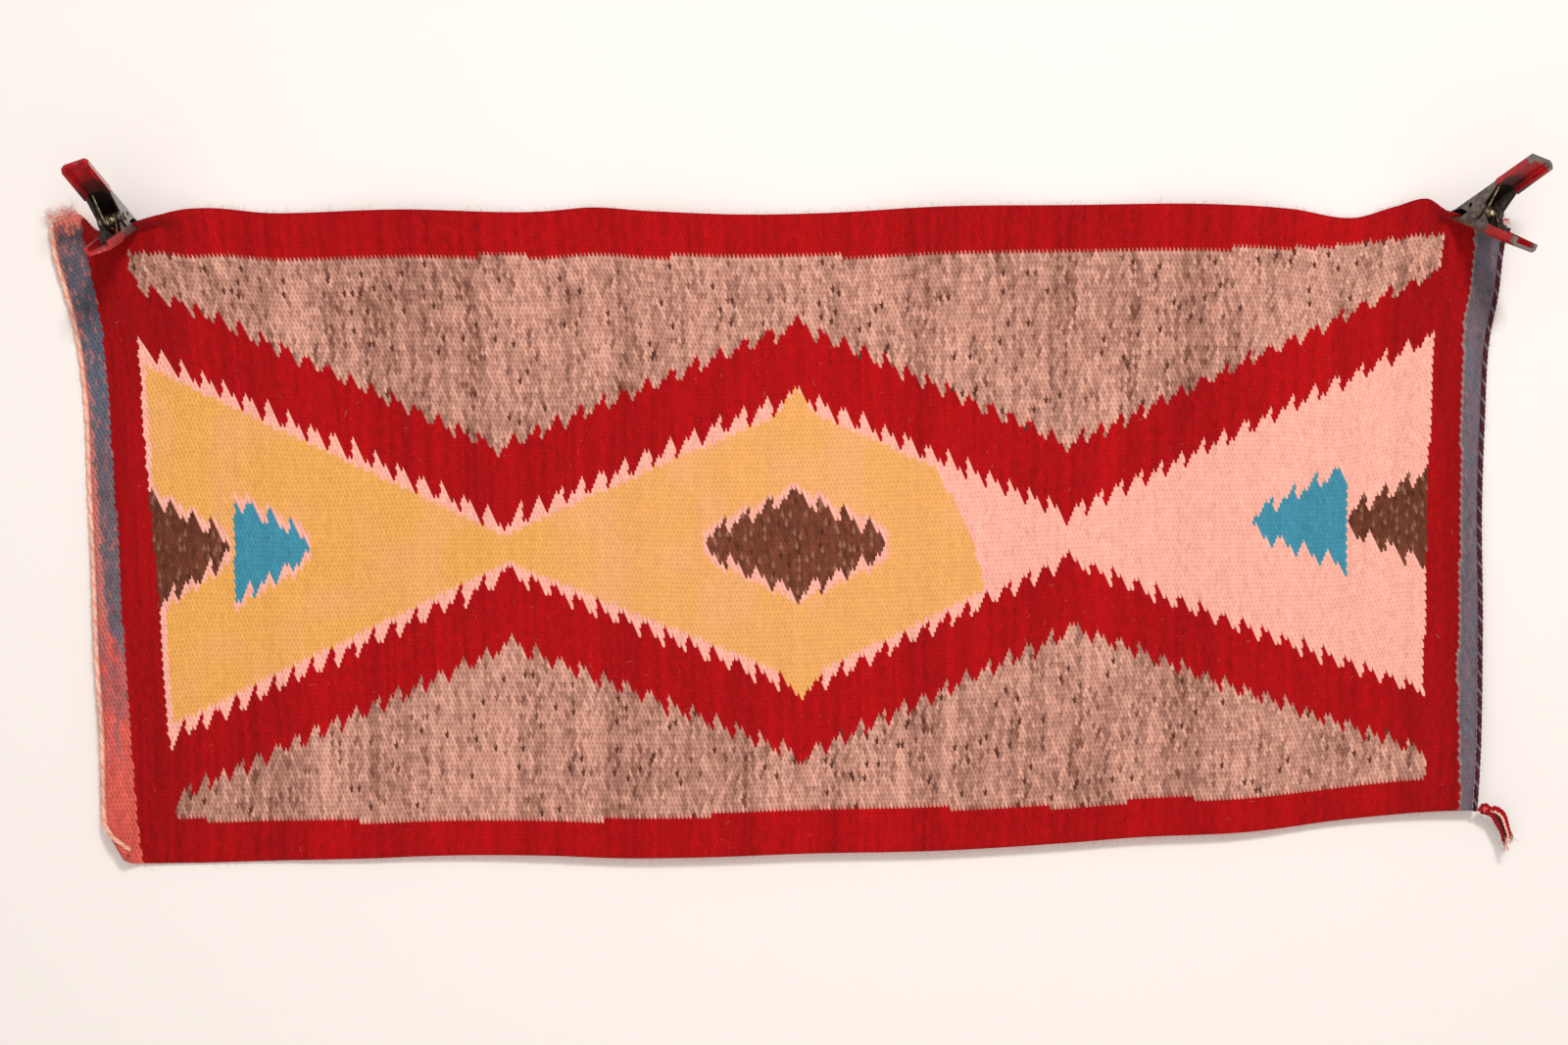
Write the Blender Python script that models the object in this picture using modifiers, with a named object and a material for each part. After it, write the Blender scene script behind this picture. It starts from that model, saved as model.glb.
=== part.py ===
"""A small Navajo rug, hung sideways, with the two spring clamps that grip its top edge.

Metres, +Z up. X runs along the rug's length and the rug's front faces -Y. The origin is on
the plane behind the rug, Y = 0, midway between the two clamps' grips. The outline's tables
are measured from the middle of the rug's front view instead, where an empty stands that
every piece hangs on. The rug is a tapestry with its warps along X. Its top edge bends
forward as a short lip at each clamp, its bottom edge stands off the plane behind it, and
its bottom left corner is rolled.
"""
import math

import bpy
import bmesh
import numpy as np
from mathutils import Matrix, Vector

GAP = 0.0003
FRONT_VIEW_MIDDLE = (-0.0085, 0.0, -0.259)

# Cloth, and how far its middle surface stands off the plane behind it
RUG_THICKNESS = 0.004
STAND_OFF = 0.006

# The middle of the rug hangs flat, and its folds fade in beyond it
FLAT_HALF_LENGTH = 0.170
FLAT_HALF_HEIGHT = 0.090
FLAT_FADE = 0.5

# The bottom edge stands forward everywhere but at the left
FLARE = {"depth": 0.008, "height": 0.150, "from_x": -0.45, "fade": 0.35}

# Soft upright folds along the top edge, and slow waves at the two ends
TOP_WAVE = {"depth": 0.0035, "length": 0.230, "height": 0.110, "shift": 0.55, "mean": 0.6}
END_WAVE = {"depth": 0.004, "length": 0.62, "from_x": 0.32, "fade": 0.15, "rise": 1.1, "run": 1.6}

# The fold that stands up just left of the right clamp
CLAMP_FOLD = {"depth": 0.006, "middle": 0.553, "half_width": 0.017, "height": 0.075}

# Outline of the hanging cloth as it is seen from the front, in millimetres
TOP_EDGE = {
    "x": (-634, -612, -592, -566, -546, -520, -442, -340, -204, -170, -119, -51, 34,
          136, 238, 374, 442, 498, 530, 560, 583, 605, 622),
    "z": (260.0, 267.5, 264.0, 256.0, 263.5, 271.0, 268.6, 270.9, 270.3, 273.2, 269.8, 267.0, 268.5,
          273.5, 275.4, 275.4, 272.0, 265.0, 274.0, 279.5, 264.0, 260.0, 257.0),
}
BOTTOM_EDGE = {
    "x": (-586, -510, -425, -350, -306, -204, -142, -75, 16, 136, 246, 302, 404, 494, 577, 594),
    "z": (-296, -295.5, -293, -290.8, -288.8, -288.2, -290.2, -289.6, -286.3, -283.6, -276.8,
          -272.3, -267.3, -256, -249, -248.6),
}
LEFT_EDGE = {
    "z": (-296, -240, -193, -116, -40, 36, 113, 164, 200, 230, 260),
    "x": (-586, -587.5, -588, -593, -596.5, -601, -605, -612, -620.5, -629, -634),
}
RIGHT_EDGE = {
    "z": (-248.6, -193, -91, 11, 87, 164, 200, 230, 257),
    "x": (594, 597.5, 601, 601.5, 604.5, 609, 615, 618, 622),
}

# Grid lines of the cloth, closer where it bends: stretches with how many faces each takes
COLUMN_STRETCHES = {"end": (0.072, 0.925, 1.0), "faces": (14, 34, 15)}
ROW_STRETCHES = {"end": (0.085, 0.95, 1.0), "faces": (5, 14, 3)}
LIP_ROWS = 6

# Rolled bottom left corner: a fold line in the front view, and the roll's radius
ROLL_LINE_START = (-0.5830, -0.2480)
ROLL_LINE_END = (-0.5560, -0.2960)
ROLL_RADIUS = 0.0085
ROLL_LARGEST_ANGLE = math.radians(165)

# Lips at the two clamps, where the cloth bends forward between the jaws
LIP_BEND_RADIUS = 0.005
LIP_DEPTH = 0.010
LIPS = {
    "left": {
        "middle": -0.566, "height": 0.2545, "slope": 0.316, "lean": math.radians(83.7),
        "plateau": (0.015, 0.015), "fade": (0.032, 0.045), "grip": 0.010,
        "heading": (-0.08, -0.99),
    },
    "right": {
        "middle": 0.583, "height": 0.2635, "slope": -0.232, "lean": math.radians(82.8),
        "plateau": (0.012, 0.019), "fade": (0.013, 0.045), "grip": 0.009,
        "heading": (0.39, -0.92),
    },
}
LIP_LENGTH = 0.021
LEVEL_BELOW_TOP = 0.030
BAND_BELOW_LIP = 0.070

# End cords, twisted yarn that lies along the two ends of the cloth; the seat is the distance
# of a cord's middle from the cloth's edge
CORD_TWIST_PITCH = 0.0079
CORDS = {
    "left": {"radius": 0.0019, "seat": 0.00255, "colour": (0.95, 0.52, 0.42)},
    "right": {"radius": 0.0022, "seat": 0.0028, "colour": (0.10, 0.018, 0.03)},
}
CORD_GROOVE = 0.78
CORD_SHORT_OF_TOP = 0.005

# Spring clamps of stamped sheet
CLAMP_WIDTH = 0.022
SHEET = 0.0015
JAW_REACH = 0.036
HANDLE_REACH = 0.0565
LEVER_SLOPE = math.radians(21)
EAR_RADIUS = 0.0085
PIN_RADIUS = 0.0022
PIN_HOLE_RADIUS = PIN_RADIUS + GAP
PIN_HEAD_RADIUS = 0.0036
PIN_HEAD_HEIGHT = 0.0013
EAR_HOLE_RADIUS = 0.0024
EAR_HOLE_PLACE = (-0.0105, 0.0045)
HANDLE_FLANGE = 0.0065
JAW_FLANGE_AT_TIP = 0.0006
LOWER_EAR_INSET = SHEET + GAP
CORNER_CUT = 0.0016
SPRING_WIRE = 0.0020
SPRING_COIL_RADIUS = 0.0050
SPRING_TURNS = 5
SPRING_PITCH = 0.0022
SPRING_POINTS_PER_TURN = 10
SPRING_LEG_REACH = 0.017
DIP_THICKNESS = 0.0007
DIP_START = 0.058
DIP_CORE_OVERRUN = 0.006
DIP_STATIONS = (0.064, 0.072, 0.088)
JAW_STATIONS = (0.0, 0.006, 0.013, 0.018)
JAW_FLANGE_DEEPENS_AT = 0.013
JAW_FLANGE = 0.0045
EAR_STATION_ANGLES = (-90, -64, -40, -14, 14, 40, 64, 90)
HANDLE_STATIONS_PAST_PIVOT = (0.014, 0.020, 0.025)
HANDLE_STATIONS = (0.072, 0.088)
HANDLE_TIP_TAPER = 0.8
LOWER_WIDENS_FROM = 0.047
LOWER_WIDENS_OVER = 0.012

# Loose yarn at the corners
YARN_RADIUS = 0.0010
KNOT_RADIUS = 0.0048
TUFT_CLEARANCE = 0.0009
KNOT_PLACE_ANGLE = math.radians(-16)
TASSEL_STRANDS = (
    ((1, 1), (10, 0), (17, -5), (20, -14), (24, -26)),
    ((1, -1), (9, -3), (16, -12), (20, -26)),
    ((0, -2), (8, -6), (14, -10), (18, -22), (16, -33)),
    ((-1, -3), (4, -9), (10, -18), (14, -26), (17, -33)),
    ((1, -2), (9, -7), (17, -16), (20, -24)),
)
TOP_LEFT_STRANDS = (
    ((-8, 0), (-13, 3), (-17, 6)),
    ((-5, 0), (-8, 5), (-10, 9)),
    ((-1, 0), (-2, 6), (-4, 10)),
    ((3, 0), (5, 5), (8, 8)),
    ((-8, 0), (-13, 1), (-18, 3)),
)
TOP_RIGHT_STRANDS = (
    ((-3, 0), (0, 4), (4, 5)),
    ((-2, -3), (3, -1), (7, 2)),
    ((-4, 1), (-3, 5), (-1, 8)),
)

COLOURS = {
    "rug": (0.46, 0.005, 0.012),
    "steel": (0.36, 0.33, 0.30),
    "dip": (0.42, 0.012, 0.016),
    "spring": (0.30, 0.27, 0.23),
    "tassel": (0.55, 0.03, 0.03),
    "tuft": (0.80, 0.30, 0.22),
}


def clear_scene():
    """Removes what the file holds, so that the rug is all there is."""
    for item in list(bpy.data.objects):
        bpy.data.objects.remove(item, do_unlink=True)


def make_collection(name):
    """Returns a new collection linked to the scene."""
    group = bpy.data.collections.new(name)
    bpy.context.scene.collection.children.link(group)
    return group


def make_material(name, colour, roughness, metallic=0.0):
    """Returns a Principled material of one colour."""
    material = bpy.data.materials.new(name)
    material.use_nodes = True
    shader = material.node_tree.nodes["Principled BSDF"]
    shader.inputs["Base Color"].default_value = (*colour, 1.0)
    shader.inputs["Roughness"].default_value = roughness
    shader.inputs["Metallic"].default_value = metallic
    return material


def make_empty(name, place, parent=None):
    """Adds an empty that other pieces hang on."""
    item = bpy.data.objects.new(name, None)
    PARTS.objects.link(item)
    item.matrix_world = place
    item.parent = parent
    return item


def file_object(item, name, group, material=None, parent=None):
    """Names an object and puts it in its collection, under its parent and with its material."""
    item.name = name
    item.data.name = name
    for holder in list(item.users_collection):
        holder.objects.unlink(item)
    group.objects.link(item)
    if material is not None:
        item.data.materials.clear()
        item.data.materials.append(material)
    item.parent = parent or FRONT_VIEW
    return item


def make_cutter(item, name, parent=None):
    """Files an object as a cutter that is never shown."""
    file_object(item, name, CUTTERS, parent=parent)
    item.hide_render = True
    item.display_type = "WIRE"
    return item


def moved_grid(columns, rows, place):
    """Adds a grid primitive and moves point (i, j) to place(i, j), given as whole arrays."""
    bpy.ops.mesh.primitive_grid_add(x_subdivisions=columns, y_subdivisions=rows, size=1.0)
    item = bpy.context.object
    flat = np.empty(len(item.data.vertices) * 3)
    item.data.vertices.foreach_get("co", flat)
    points = flat.reshape(-1, 3)
    i = np.rint((points[:, 0] + 0.5) * columns).astype(int)
    j = np.rint((points[:, 1] + 0.5) * rows).astype(int)
    item.data.vertices.foreach_set("co", place(i, j).ravel())
    item.data.update()
    return item


def solidify(item, thickness):
    """Gives an open surface its thickness, half to each side."""
    shell = item.modifiers.new("Thickness", "SOLIDIFY")
    shell.thickness = thickness
    shell.offset = 0.0
    return item


def cut(item, cutter, operation="DIFFERENCE"):
    """Adds an exact Boolean."""
    step = item.modifiers.new("Boolean", "BOOLEAN")
    step.operation = operation
    step.object = cutter
    step.solver = "EXACT"
    return item


def smooth_step(value):
    """Runs from 0 to 1 with level ends."""
    value = np.clip(value, 0.0, 1.0)
    return value * value * (3.0 - 2.0 * value)


def through(table_in, table_out, where):
    """Reads a smooth curve through the table's points, by cubic pieces with mean slopes."""
    x = np.asarray(table_in, float) / 1000.0
    y = np.asarray(table_out, float) / 1000.0
    slope = np.gradient(y, x)
    where = np.clip(where, x[0], x[-1])
    k = np.clip(np.searchsorted(x, where) - 1, 0, len(x) - 2)
    width = x[k + 1] - x[k]
    t = (where - x[k]) / width
    start = (1 + 2 * t) * (1 - t) ** 2 * y[k] + t * (1 - t) ** 2 * width * slope[k]
    end = t * t * (3 - 2 * t) * y[k + 1] + t * t * (t - 1) * width * slope[k + 1]
    return start + end


def stretch_lines(stretches):
    """Returns the places of grid lines, evenly spread within each stretch."""
    lines = [np.zeros(1)]
    begin = 0.0
    for end, faces in zip(stretches["end"], stretches["faces"]):
        lines.append(np.linspace(begin, end, faces + 1)[1:])
        begin = end
    return np.concatenate(lines)


def plateau(x, lip):
    """Is 1 across a clamp's grip and fades to 0 on both sides."""
    left = (lip["middle"] - lip["plateau"][0] - x) / lip["fade"][0]
    right = (x - lip["middle"] - lip["plateau"][1]) / lip["fade"][1]
    return 1.0 - smooth_step(np.maximum(left, right))


def lip_lean(x):
    """Gives the angle by which the top of the cloth leans forward."""
    return sum(lip["lean"] * plateau(x, lip) for lip in LIPS.values())


def top_silhouette(x):
    """Gives the height of the top edge, straight across each clamp's grip."""
    height = through(TOP_EDGE["x"], TOP_EDGE["z"], x)
    for lip in LIPS.values():
        level = lip["height"] + lip["slope"] * (x - lip["middle"])
        height += (level - height) * plateau(x, lip)
    return height


def lip_rise(lean):
    """Gives how far the lip reaches above the line where it starts to bend."""
    bent = LIP_BEND_RADIUS * np.sin(lean)
    return bent + (LIP_LENGTH - LIP_BEND_RADIUS * lean) * np.cos(lean)


def cloth_depth(x, z):
    """Gives the distance of the cloth's middle surface from the plane behind it."""
    top = through(TOP_EDGE["x"], TOP_EDGE["z"], x)
    low = through(BOTTOM_EDGE["x"], BOTTOM_EDGE["z"], x)
    flare = smooth_step(1.0 - (z - low) / FLARE["height"])
    flare = flare * smooth_step((x - FLARE["from_x"]) / FLARE["fade"])
    folds = FLARE["depth"] * flare
    near_top = smooth_step(1.0 - (top - z) / TOP_WAVE["height"])
    wave = np.cos(2 * math.pi * (x + TOP_WAVE["shift"]) / TOP_WAVE["length"])
    folds += TOP_WAVE["depth"] * near_top * (TOP_WAVE["mean"] + wave)
    near_end = smooth_step((np.abs(x) - END_WAVE["from_x"]) / END_WAVE["fade"])
    slant = z * END_WAVE["rise"] + END_WAVE["run"] * np.abs(x)
    folds += END_WAVE["depth"] * near_end * np.sin(2 * math.pi * slant / END_WAVE["length"])
    stand = np.exp(-((x - CLAMP_FOLD["middle"]) / CLAMP_FOLD["half_width"]) ** 2)
    folds += CLAMP_FOLD["depth"] * stand * smooth_step(1.0 - (top - z) / CLAMP_FOLD["height"])
    middle = np.maximum(np.abs(x) / FLAT_HALF_LENGTH, np.abs(z) / FLAT_HALF_HEIGHT)
    depth = STAND_OFF + folds * smooth_step((middle - 1.0) / FLAT_FADE)
    for lip in LIPS.values():
        below = top - z - LEVEL_BELOW_TOP
        near = plateau(x, lip) * smooth_step(1.0 - below / BAND_BELOW_LIP)
        depth += (LIP_DEPTH - depth) * near
    return np.maximum(depth, RUG_THICKNESS / 2 + GAP)


def roll_corner(points):
    """Bends what lies past the fold line forward around the roll's radius."""
    start = np.array(ROLL_LINE_START)
    along = np.array(ROLL_LINE_END) - start
    along /= np.linalg.norm(along)
    outward = np.array((along[1], -along[0]))
    flat = points[:, (0, 2)]
    past = (flat - start) @ outward
    bend = np.clip(past / ROLL_RADIUS, 0.0, ROLL_LARGEST_ANGLE)
    rest = np.maximum(past - ROLL_RADIUS * bend, 0.0)
    out = ROLL_RADIUS * np.sin(bend) + rest * np.cos(bend)
    forward = ROLL_RADIUS * (1 - np.cos(bend)) + rest * np.sin(bend)
    shift = np.where(past > 0, out - past, 0.0)
    points[:, (0, 2)] += shift[:, None] * outward
    points[:, 1] -= np.where(past > 0, forward, 0.0)
    return points


def cloth_point(u, body, lip):
    """Places the cloth's middle surface.

    u runs along the rug from 0 to 1, body from the bottom edge to the lip's start, and lip
    is the length of lip past it. Side edges bend the straight lines between the corners,
    by each point's share of the height from the bottom edge to the top.
    """
    x_low = BOTTOM_EDGE["x"][0] / 1000 + u * (BOTTOM_EDGE["x"][-1] - BOTTOM_EDGE["x"][0]) / 1000
    x_top = TOP_EDGE["x"][0] / 1000 + u * (TOP_EDGE["x"][-1] - TOP_EDGE["x"][0]) / 1000
    low = through(BOTTOM_EDGE["x"], BOTTOM_EDGE["z"], x_low)
    lean = lip_lean(x_top)
    top = top_silhouette(x_top)
    z_body = low + (top - lip_rise(lean) - low) * body
    bend = np.minimum(lip / LIP_BEND_RADIUS, lean)
    rest = np.maximum(lip - LIP_BEND_RADIUS * bend, 0.0)
    z = z_body + LIP_BEND_RADIUS * np.sin(bend) + rest * np.cos(bend)
    share = (z - low) / (top - low)
    x = x_low + (x_top - x_low) * share
    for edge, weight in ((LEFT_EDGE, 1.0 - u), (RIGHT_EDGE, u)):
        z_edge = (edge["z"][0] + (edge["z"][-1] - edge["z"][0]) * share) / 1000
        straight = (edge["x"][0] + (edge["x"][-1] - edge["x"][0]) * share) / 1000
        x = x + weight * (through(edge["z"], edge["x"], z_edge) - straight)
    depth = cloth_depth(x, z_body)
    depth = depth + LIP_BEND_RADIUS * (1 - np.cos(bend)) + rest * np.sin(bend)
    return roll_corner(np.stack([x, -depth, z], axis=1))


def row_lines():
    """Returns each row's share of the body and its length of lip."""
    body = stretch_lines(ROW_STRETCHES)
    lip = np.linspace(0.0, LIP_LENGTH, LIP_ROWS + 1)[1:]
    return (np.concatenate([body, np.ones(LIP_ROWS)]),
            np.concatenate([np.zeros(len(body)), lip]))


def make_rug(material):
    """The woven cloth: a grid moved to the hanging surface and given its thickness."""
    columns = stretch_lines(COLUMN_STRETCHES)
    body, lip = row_lines()
    item = moved_grid(len(columns) - 1, len(body) - 1,
                      lambda i, j: cloth_point(columns[i], body[j], lip[j]))
    file_object(item, "rug", PARTS, material)
    solidify(item, RUG_THICKNESS)
    item.data.shade_smooth()
    return item


def resample(points, spacing):
    """Returns points at even spacing along a path."""
    steps = np.linalg.norm(np.diff(points, axis=0), axis=1)
    length = np.concatenate([[0.0], np.cumsum(steps)])
    count = int(round(length[-1] / spacing))
    where = np.linspace(0.0, length[-1], count + 1)
    return np.stack([np.interp(where, length, points[:, axis]) for axis in range(3)], axis=1)


def wire(name, points, radius, sides_level, material, radii=None, parent=None):
    """A tube along the points: a poly curve with a bevel and filled caps."""
    data = bpy.data.curves.new(name, "CURVE")
    data.dimensions = "3D"
    data.bevel_depth = radius
    data.bevel_resolution = sides_level
    data.use_fill_caps = True
    spline = data.splines.new("POLY")
    spline.points.add(len(points) - 1)
    for k, point in enumerate(points):
        spline.points[k].co = (*point, 1.0)
        spline.points[k].radius = 1.0 if radii is None else radii[k]
    item = bpy.data.objects.new(name, data)
    PARTS.objects.link(item)
    return file_object(item, name, PARTS, material, parent)


def make_end_cord(side):
    """A two-ply cord along one end of the cloth, whose twist shows as even swellings."""
    cord = CORDS[side]
    body = np.linspace(0.0, 1.0, 240)
    lip = np.linspace(0.0, LIP_LENGTH - CORD_SHORT_OF_TOP, 12)[1:]
    body_all = np.concatenate([body, np.ones(len(lip))])
    lip_all = np.concatenate([np.zeros(len(body)), lip])
    edge_u, inner_u = (0.0, 0.004) if side == "left" else (1.0, 0.996)
    edge = cloth_point(np.full(len(body_all), edge_u), body_all, lip_all)
    inner = cloth_point(np.full(len(body_all), inner_u), body_all, lip_all)
    outward = edge - inner
    outward /= np.linalg.norm(outward, axis=1)[:, None]
    path = resample(edge + outward * cord["seat"], CORD_TWIST_PITCH / 2)
    radii = np.where(np.arange(len(path)) % 2 == 0, 1.0, CORD_GROOVE)
    material = make_material("end_cord_" + side, cord["colour"], 0.9)
    return wire("end_cord_" + side, path, cord["radius"], 1, material, radii)


def curve_to_mesh(item, name):
    """Turns a curve object into a closed mesh object that stands where the curve stood."""
    graph = bpy.context.evaluated_depsgraph_get()
    graph.update()
    data = bpy.data.meshes.new_from_object(item.evaluated_get(graph))
    solid = bmesh.new()
    solid.from_mesh(data)
    bmesh.ops.remove_doubles(solid, verts=solid.verts, dist=0.00001)
    solid.to_mesh(data)
    solid.free()
    mesh_item = bpy.data.objects.new(name, data)
    mesh_item.location = item.location
    mesh_item.rotation_euler = item.rotation_euler
    bpy.context.scene.collection.objects.link(mesh_item)
    bpy.data.objects.remove(item, do_unlink=True)
    return mesh_item


def make_yarn_bunch(name, centre, knot_size, strands, material, forward, slope=0.0):
    """Loose yarn ends fused into one knot; strand points are x and z from it in millimetres."""
    bpy.ops.mesh.primitive_uv_sphere_add(segments=10, ring_count=7, radius=1.0)
    knot = bpy.context.object
    knot.data.transform(Matrix.Diagonal((*knot_size, 1.0)))
    file_object(knot, name, PARTS, material)
    knot.location = centre
    knot.rotation_euler.y = -math.atan(slope)
    for number, strand in enumerate(strands):
        steps = np.linspace(0.0, 1.0, len(strand))
        fan = (number - (len(strands) - 1) / 2) * forward
        points = [(x * 0.001, -abs(fan) * t, z * 0.001) for (x, z), t in zip(strand, steps)]
        radii = np.linspace(1.0, 0.7, len(points))
        thread = wire(name + "_yarn", points, YARN_RADIUS, 0, material, radii)
        thread.location = Vector(centre) + Vector((0.0, 0.0006 * fan / forward, 0.0))
        thread.rotation_euler = knot.rotation_euler
        solid = curve_to_mesh(thread, "%s_yarn_%d" % (name, number))
        make_cutter(solid, solid.name)
        cut(knot, solid, "UNION")
    return knot


def make_loose_yarn():
    """The tassel at the bottom right corner and the frayed yarn at the top corners."""
    tassel = make_material("tassel_yarn", COLOURS["tassel"], 0.9)
    tuft = make_material("tuft_yarn", COLOURS["tuft"], 0.95)
    one = np.ones(1)
    low_right = cloth_point(one, 0 * one, 0 * one)[0]
    reach = CORDS["right"]["radius"] + GAP + KNOT_RADIUS
    beside = CORDS["right"]["seat"] + reach * math.cos(KNOT_PLACE_ANGLE)
    centre = low_right + np.array((beside, 0.0, reach * math.sin(KNOT_PLACE_ANGLE)))
    make_yarn_bunch("corner_tassel", centre, (KNOT_RADIUS,) * 3, TASSEL_STRANDS, tassel, 0.0035)
    for name, u, size, strands in (
            ("tuft_top_left", 0.0095, (0.0100, 0.0020, 0.0022), TOP_LEFT_STRANDS),
            ("tuft_top_right", 0.9970, (0.0040, 0.0020, 0.0020), TOP_RIGHT_STRANDS)):
        end = cloth_point(u * one, one, LIP_LENGTH * one)[0]
        below = cloth_point(u * one, one, (LIP_LENGTH - 0.001) * one)[0]
        beside = cloth_point((u + 0.002) * one, one, LIP_LENGTH * one)[0]
        outward = (end - below) / np.linalg.norm(end - below)
        slope = (beside[2] - end[2]) / (beside[0] - end[0])
        centre = end + outward * (size[2] + TUFT_CLEARANCE)
        make_yarn_bunch(name, centre, size, strands, tuft, 0.0015, slope)


def lever_frame():
    """Returns the jaw tip of the upper lever's middle surface and the spine's two directions."""
    along = np.array((math.cos(LEVER_SLOPE), math.sin(LEVER_SLOPE)))
    inward = np.array((math.sin(LEVER_SLOPE), -math.cos(LEVER_SLOPE)))
    above = RUG_THICKNESS / 2 + GAP + SHEET / 2 * math.cos(LEVER_SLOPE)
    return np.array((-JAW_REACH, above)), along, inward


def flange_depth(s):
    """Gives the depth of a lever's side flange, with a round ear at the pivot."""
    tip, along, inward = lever_frame()
    pivot_s = -tip @ along
    pivot_d = -tip @ inward
    handle_s = pivot_s + HANDLE_STATIONS_PAST_PIVOT[-1]
    stops = (0.0, JAW_FLANGE_DEEPENS_AT, pivot_s - EAR_RADIUS, pivot_s + EAR_RADIUS,
             handle_s, LEVER_LENGTH)
    depths = (JAW_FLANGE_AT_TIP, JAW_FLANGE, pivot_d, pivot_d,
              HANDLE_FLANGE, HANDLE_FLANGE * HANDLE_TIP_TAPER)
    straight = np.interp(s, stops, depths)
    inside = np.clip(EAR_RADIUS ** 2 - (s - pivot_s) ** 2, 0.0, None)
    return np.where(inside > 0, pivot_d + np.sqrt(inside), straight)


def lever_surface(stations, half_widths, extra=0.0):
    """Moves a grid to a channel: a spine with a flange bent down along each side.

    Each station is a cross-section: flange edge, bend, spine, bend, flange edge.
    """
    tip, along, inward = lever_frame()
    stations = np.asarray(stations)
    depth = flange_depth(np.clip(stations, 0.0, LEVER_LENGTH)) + extra
    side = np.array((-1, -1, -1, 1, 1, 1))
    across = np.array((1, 1, 0, 0, 1, 1))
    corner = np.array((0, 1, 0, 0, 1, 0))

    def place(i, j):
        drop = np.where(across[j] == 0, 0.0, np.where(corner[j] == 1, CORNER_CUT, depth[i]))
        drop = np.minimum(drop, depth[i])
        width = half_widths[i] - np.where(across[j] == 0, CORNER_CUT, 0.0)
        flat = tip + stations[i][:, None] * along + drop[:, None] * inward
        return np.stack([flat[:, 0], flat[:, 1], side[j] * width], axis=1)

    return moved_grid(len(stations) - 1, len(side) - 1, place)


def lever_stations():
    """Returns the cross-sections along a lever, closer at the ear."""
    tip, along, _ = lever_frame()
    pivot_s = -tip @ along
    ear = pivot_s + EAR_RADIUS * np.sin(np.radians(EAR_STATION_ANGLES))
    past_ear = pivot_s + np.array(HANDLE_STATIONS_PAST_PIVOT)
    return np.concatenate([JAW_STATIONS, ear, past_ear, HANDLE_STATIONS, (LEVER_LENGTH,)])


def lever_half_widths(stations, upper):
    """Gives half the width to the flanges' middle; the lower lever is slimmer at its ears."""
    full = CLAMP_WIDTH / 2 - SHEET / 2
    if upper:
        return np.full(len(stations), full)
    widen = smooth_step((stations - LOWER_WIDENS_FROM) / LOWER_WIDENS_OVER)
    return full - LOWER_EAR_INSET * (1.0 - widen)


def flip_if_lower(item, upper):
    """Mirrors a lever's surface to the lower side of the clamp."""
    if not upper:
        item.data.transform(Matrix.Diagonal((1, -1, 1, 1)))
        item.data.flip_normals()
    return item


def round_cutter(name, place, radius, parent):
    """A cylinder along the pin's direction, longer than the clamp is wide."""
    bpy.ops.mesh.primitive_cylinder_add(vertices=14, radius=radius, depth=2 * CLAMP_WIDTH,
                                        location=(place[0], place[1], 0.0))
    return make_cutter(bpy.context.object, name, parent)


def make_lever(name, upper, material, parent):
    """One stamped lever: a channel from jaw tip to handle tip with ears for the pin."""
    stations = lever_stations()
    item = lever_surface(stations, lever_half_widths(stations, upper))
    flip_if_lower(item, upper)
    file_object(item, name, PARTS, material, parent)
    solidify(item, SHEET)
    side = 1 if upper else -1
    cut(item, round_cutter(name + "_pin_hole", (0.0, 0.0), PIN_HOLE_RADIUS, parent))
    hole = (EAR_HOLE_PLACE[0], EAR_HOLE_PLACE[1] * side)
    if upper:
        cut(item, round_cutter(name + "_ear_hole", hole, EAR_HOLE_RADIUS, parent))
    return item


def make_dip(name, upper, material, parent):
    """The dipped coat on a handle: a thicker channel with the lever's own form taken out."""
    end = LEVER_LENGTH + GAP
    stations = np.array((DIP_START, *DIP_STATIONS, end + DIP_THICKNESS))
    widths = lever_half_widths(stations, upper)
    item = lever_surface(stations, widths, GAP + DIP_THICKNESS)
    flip_if_lower(item, upper)
    file_object(item, name, PARTS, material, parent)
    solidify(item, SHEET + 2 * (GAP + DIP_THICKNESS))
    core_stations = np.array((DIP_START - DIP_CORE_OVERRUN, DIP_START, *DIP_STATIONS, end))
    core = lever_surface(core_stations, lever_half_widths(core_stations, upper), GAP)
    flip_if_lower(core, upper)
    solidify(core, SHEET + 2 * GAP)
    make_cutter(core, name + "_core", parent)
    return cut(item, core)


def make_pin(name, material, parent):
    """The pin through the ears, turned, with a flat head at each end."""
    inner = CLAMP_WIDTH / 2 + GAP
    outer = inner + PIN_HEAD_HEIGHT
    chamfer = 0.0004
    half = ((0.0, outer), (PIN_HEAD_RADIUS - chamfer, outer), (PIN_HEAD_RADIUS, outer - chamfer),
            (PIN_HEAD_RADIUS, inner), (PIN_RADIUS, inner))
    profile = list(half) + [(radius, -height) for radius, height in reversed(half)]
    data = bpy.data.meshes.new(name)
    points = [(radius, 0.0, height) for radius, height in profile]
    data.from_pydata(points, [(k, k + 1) for k in range(len(points) - 1)], [])
    item = bpy.data.objects.new(name, data)
    PARTS.objects.link(item)
    file_object(item, name, PARTS, material, parent)
    turn = item.modifiers.new("Turn", "SCREW")
    turn.steps = 12
    turn.render_steps = 12
    turn.use_merge_vertices = True
    turn.merge_threshold = 0.00001
    return item


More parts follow.
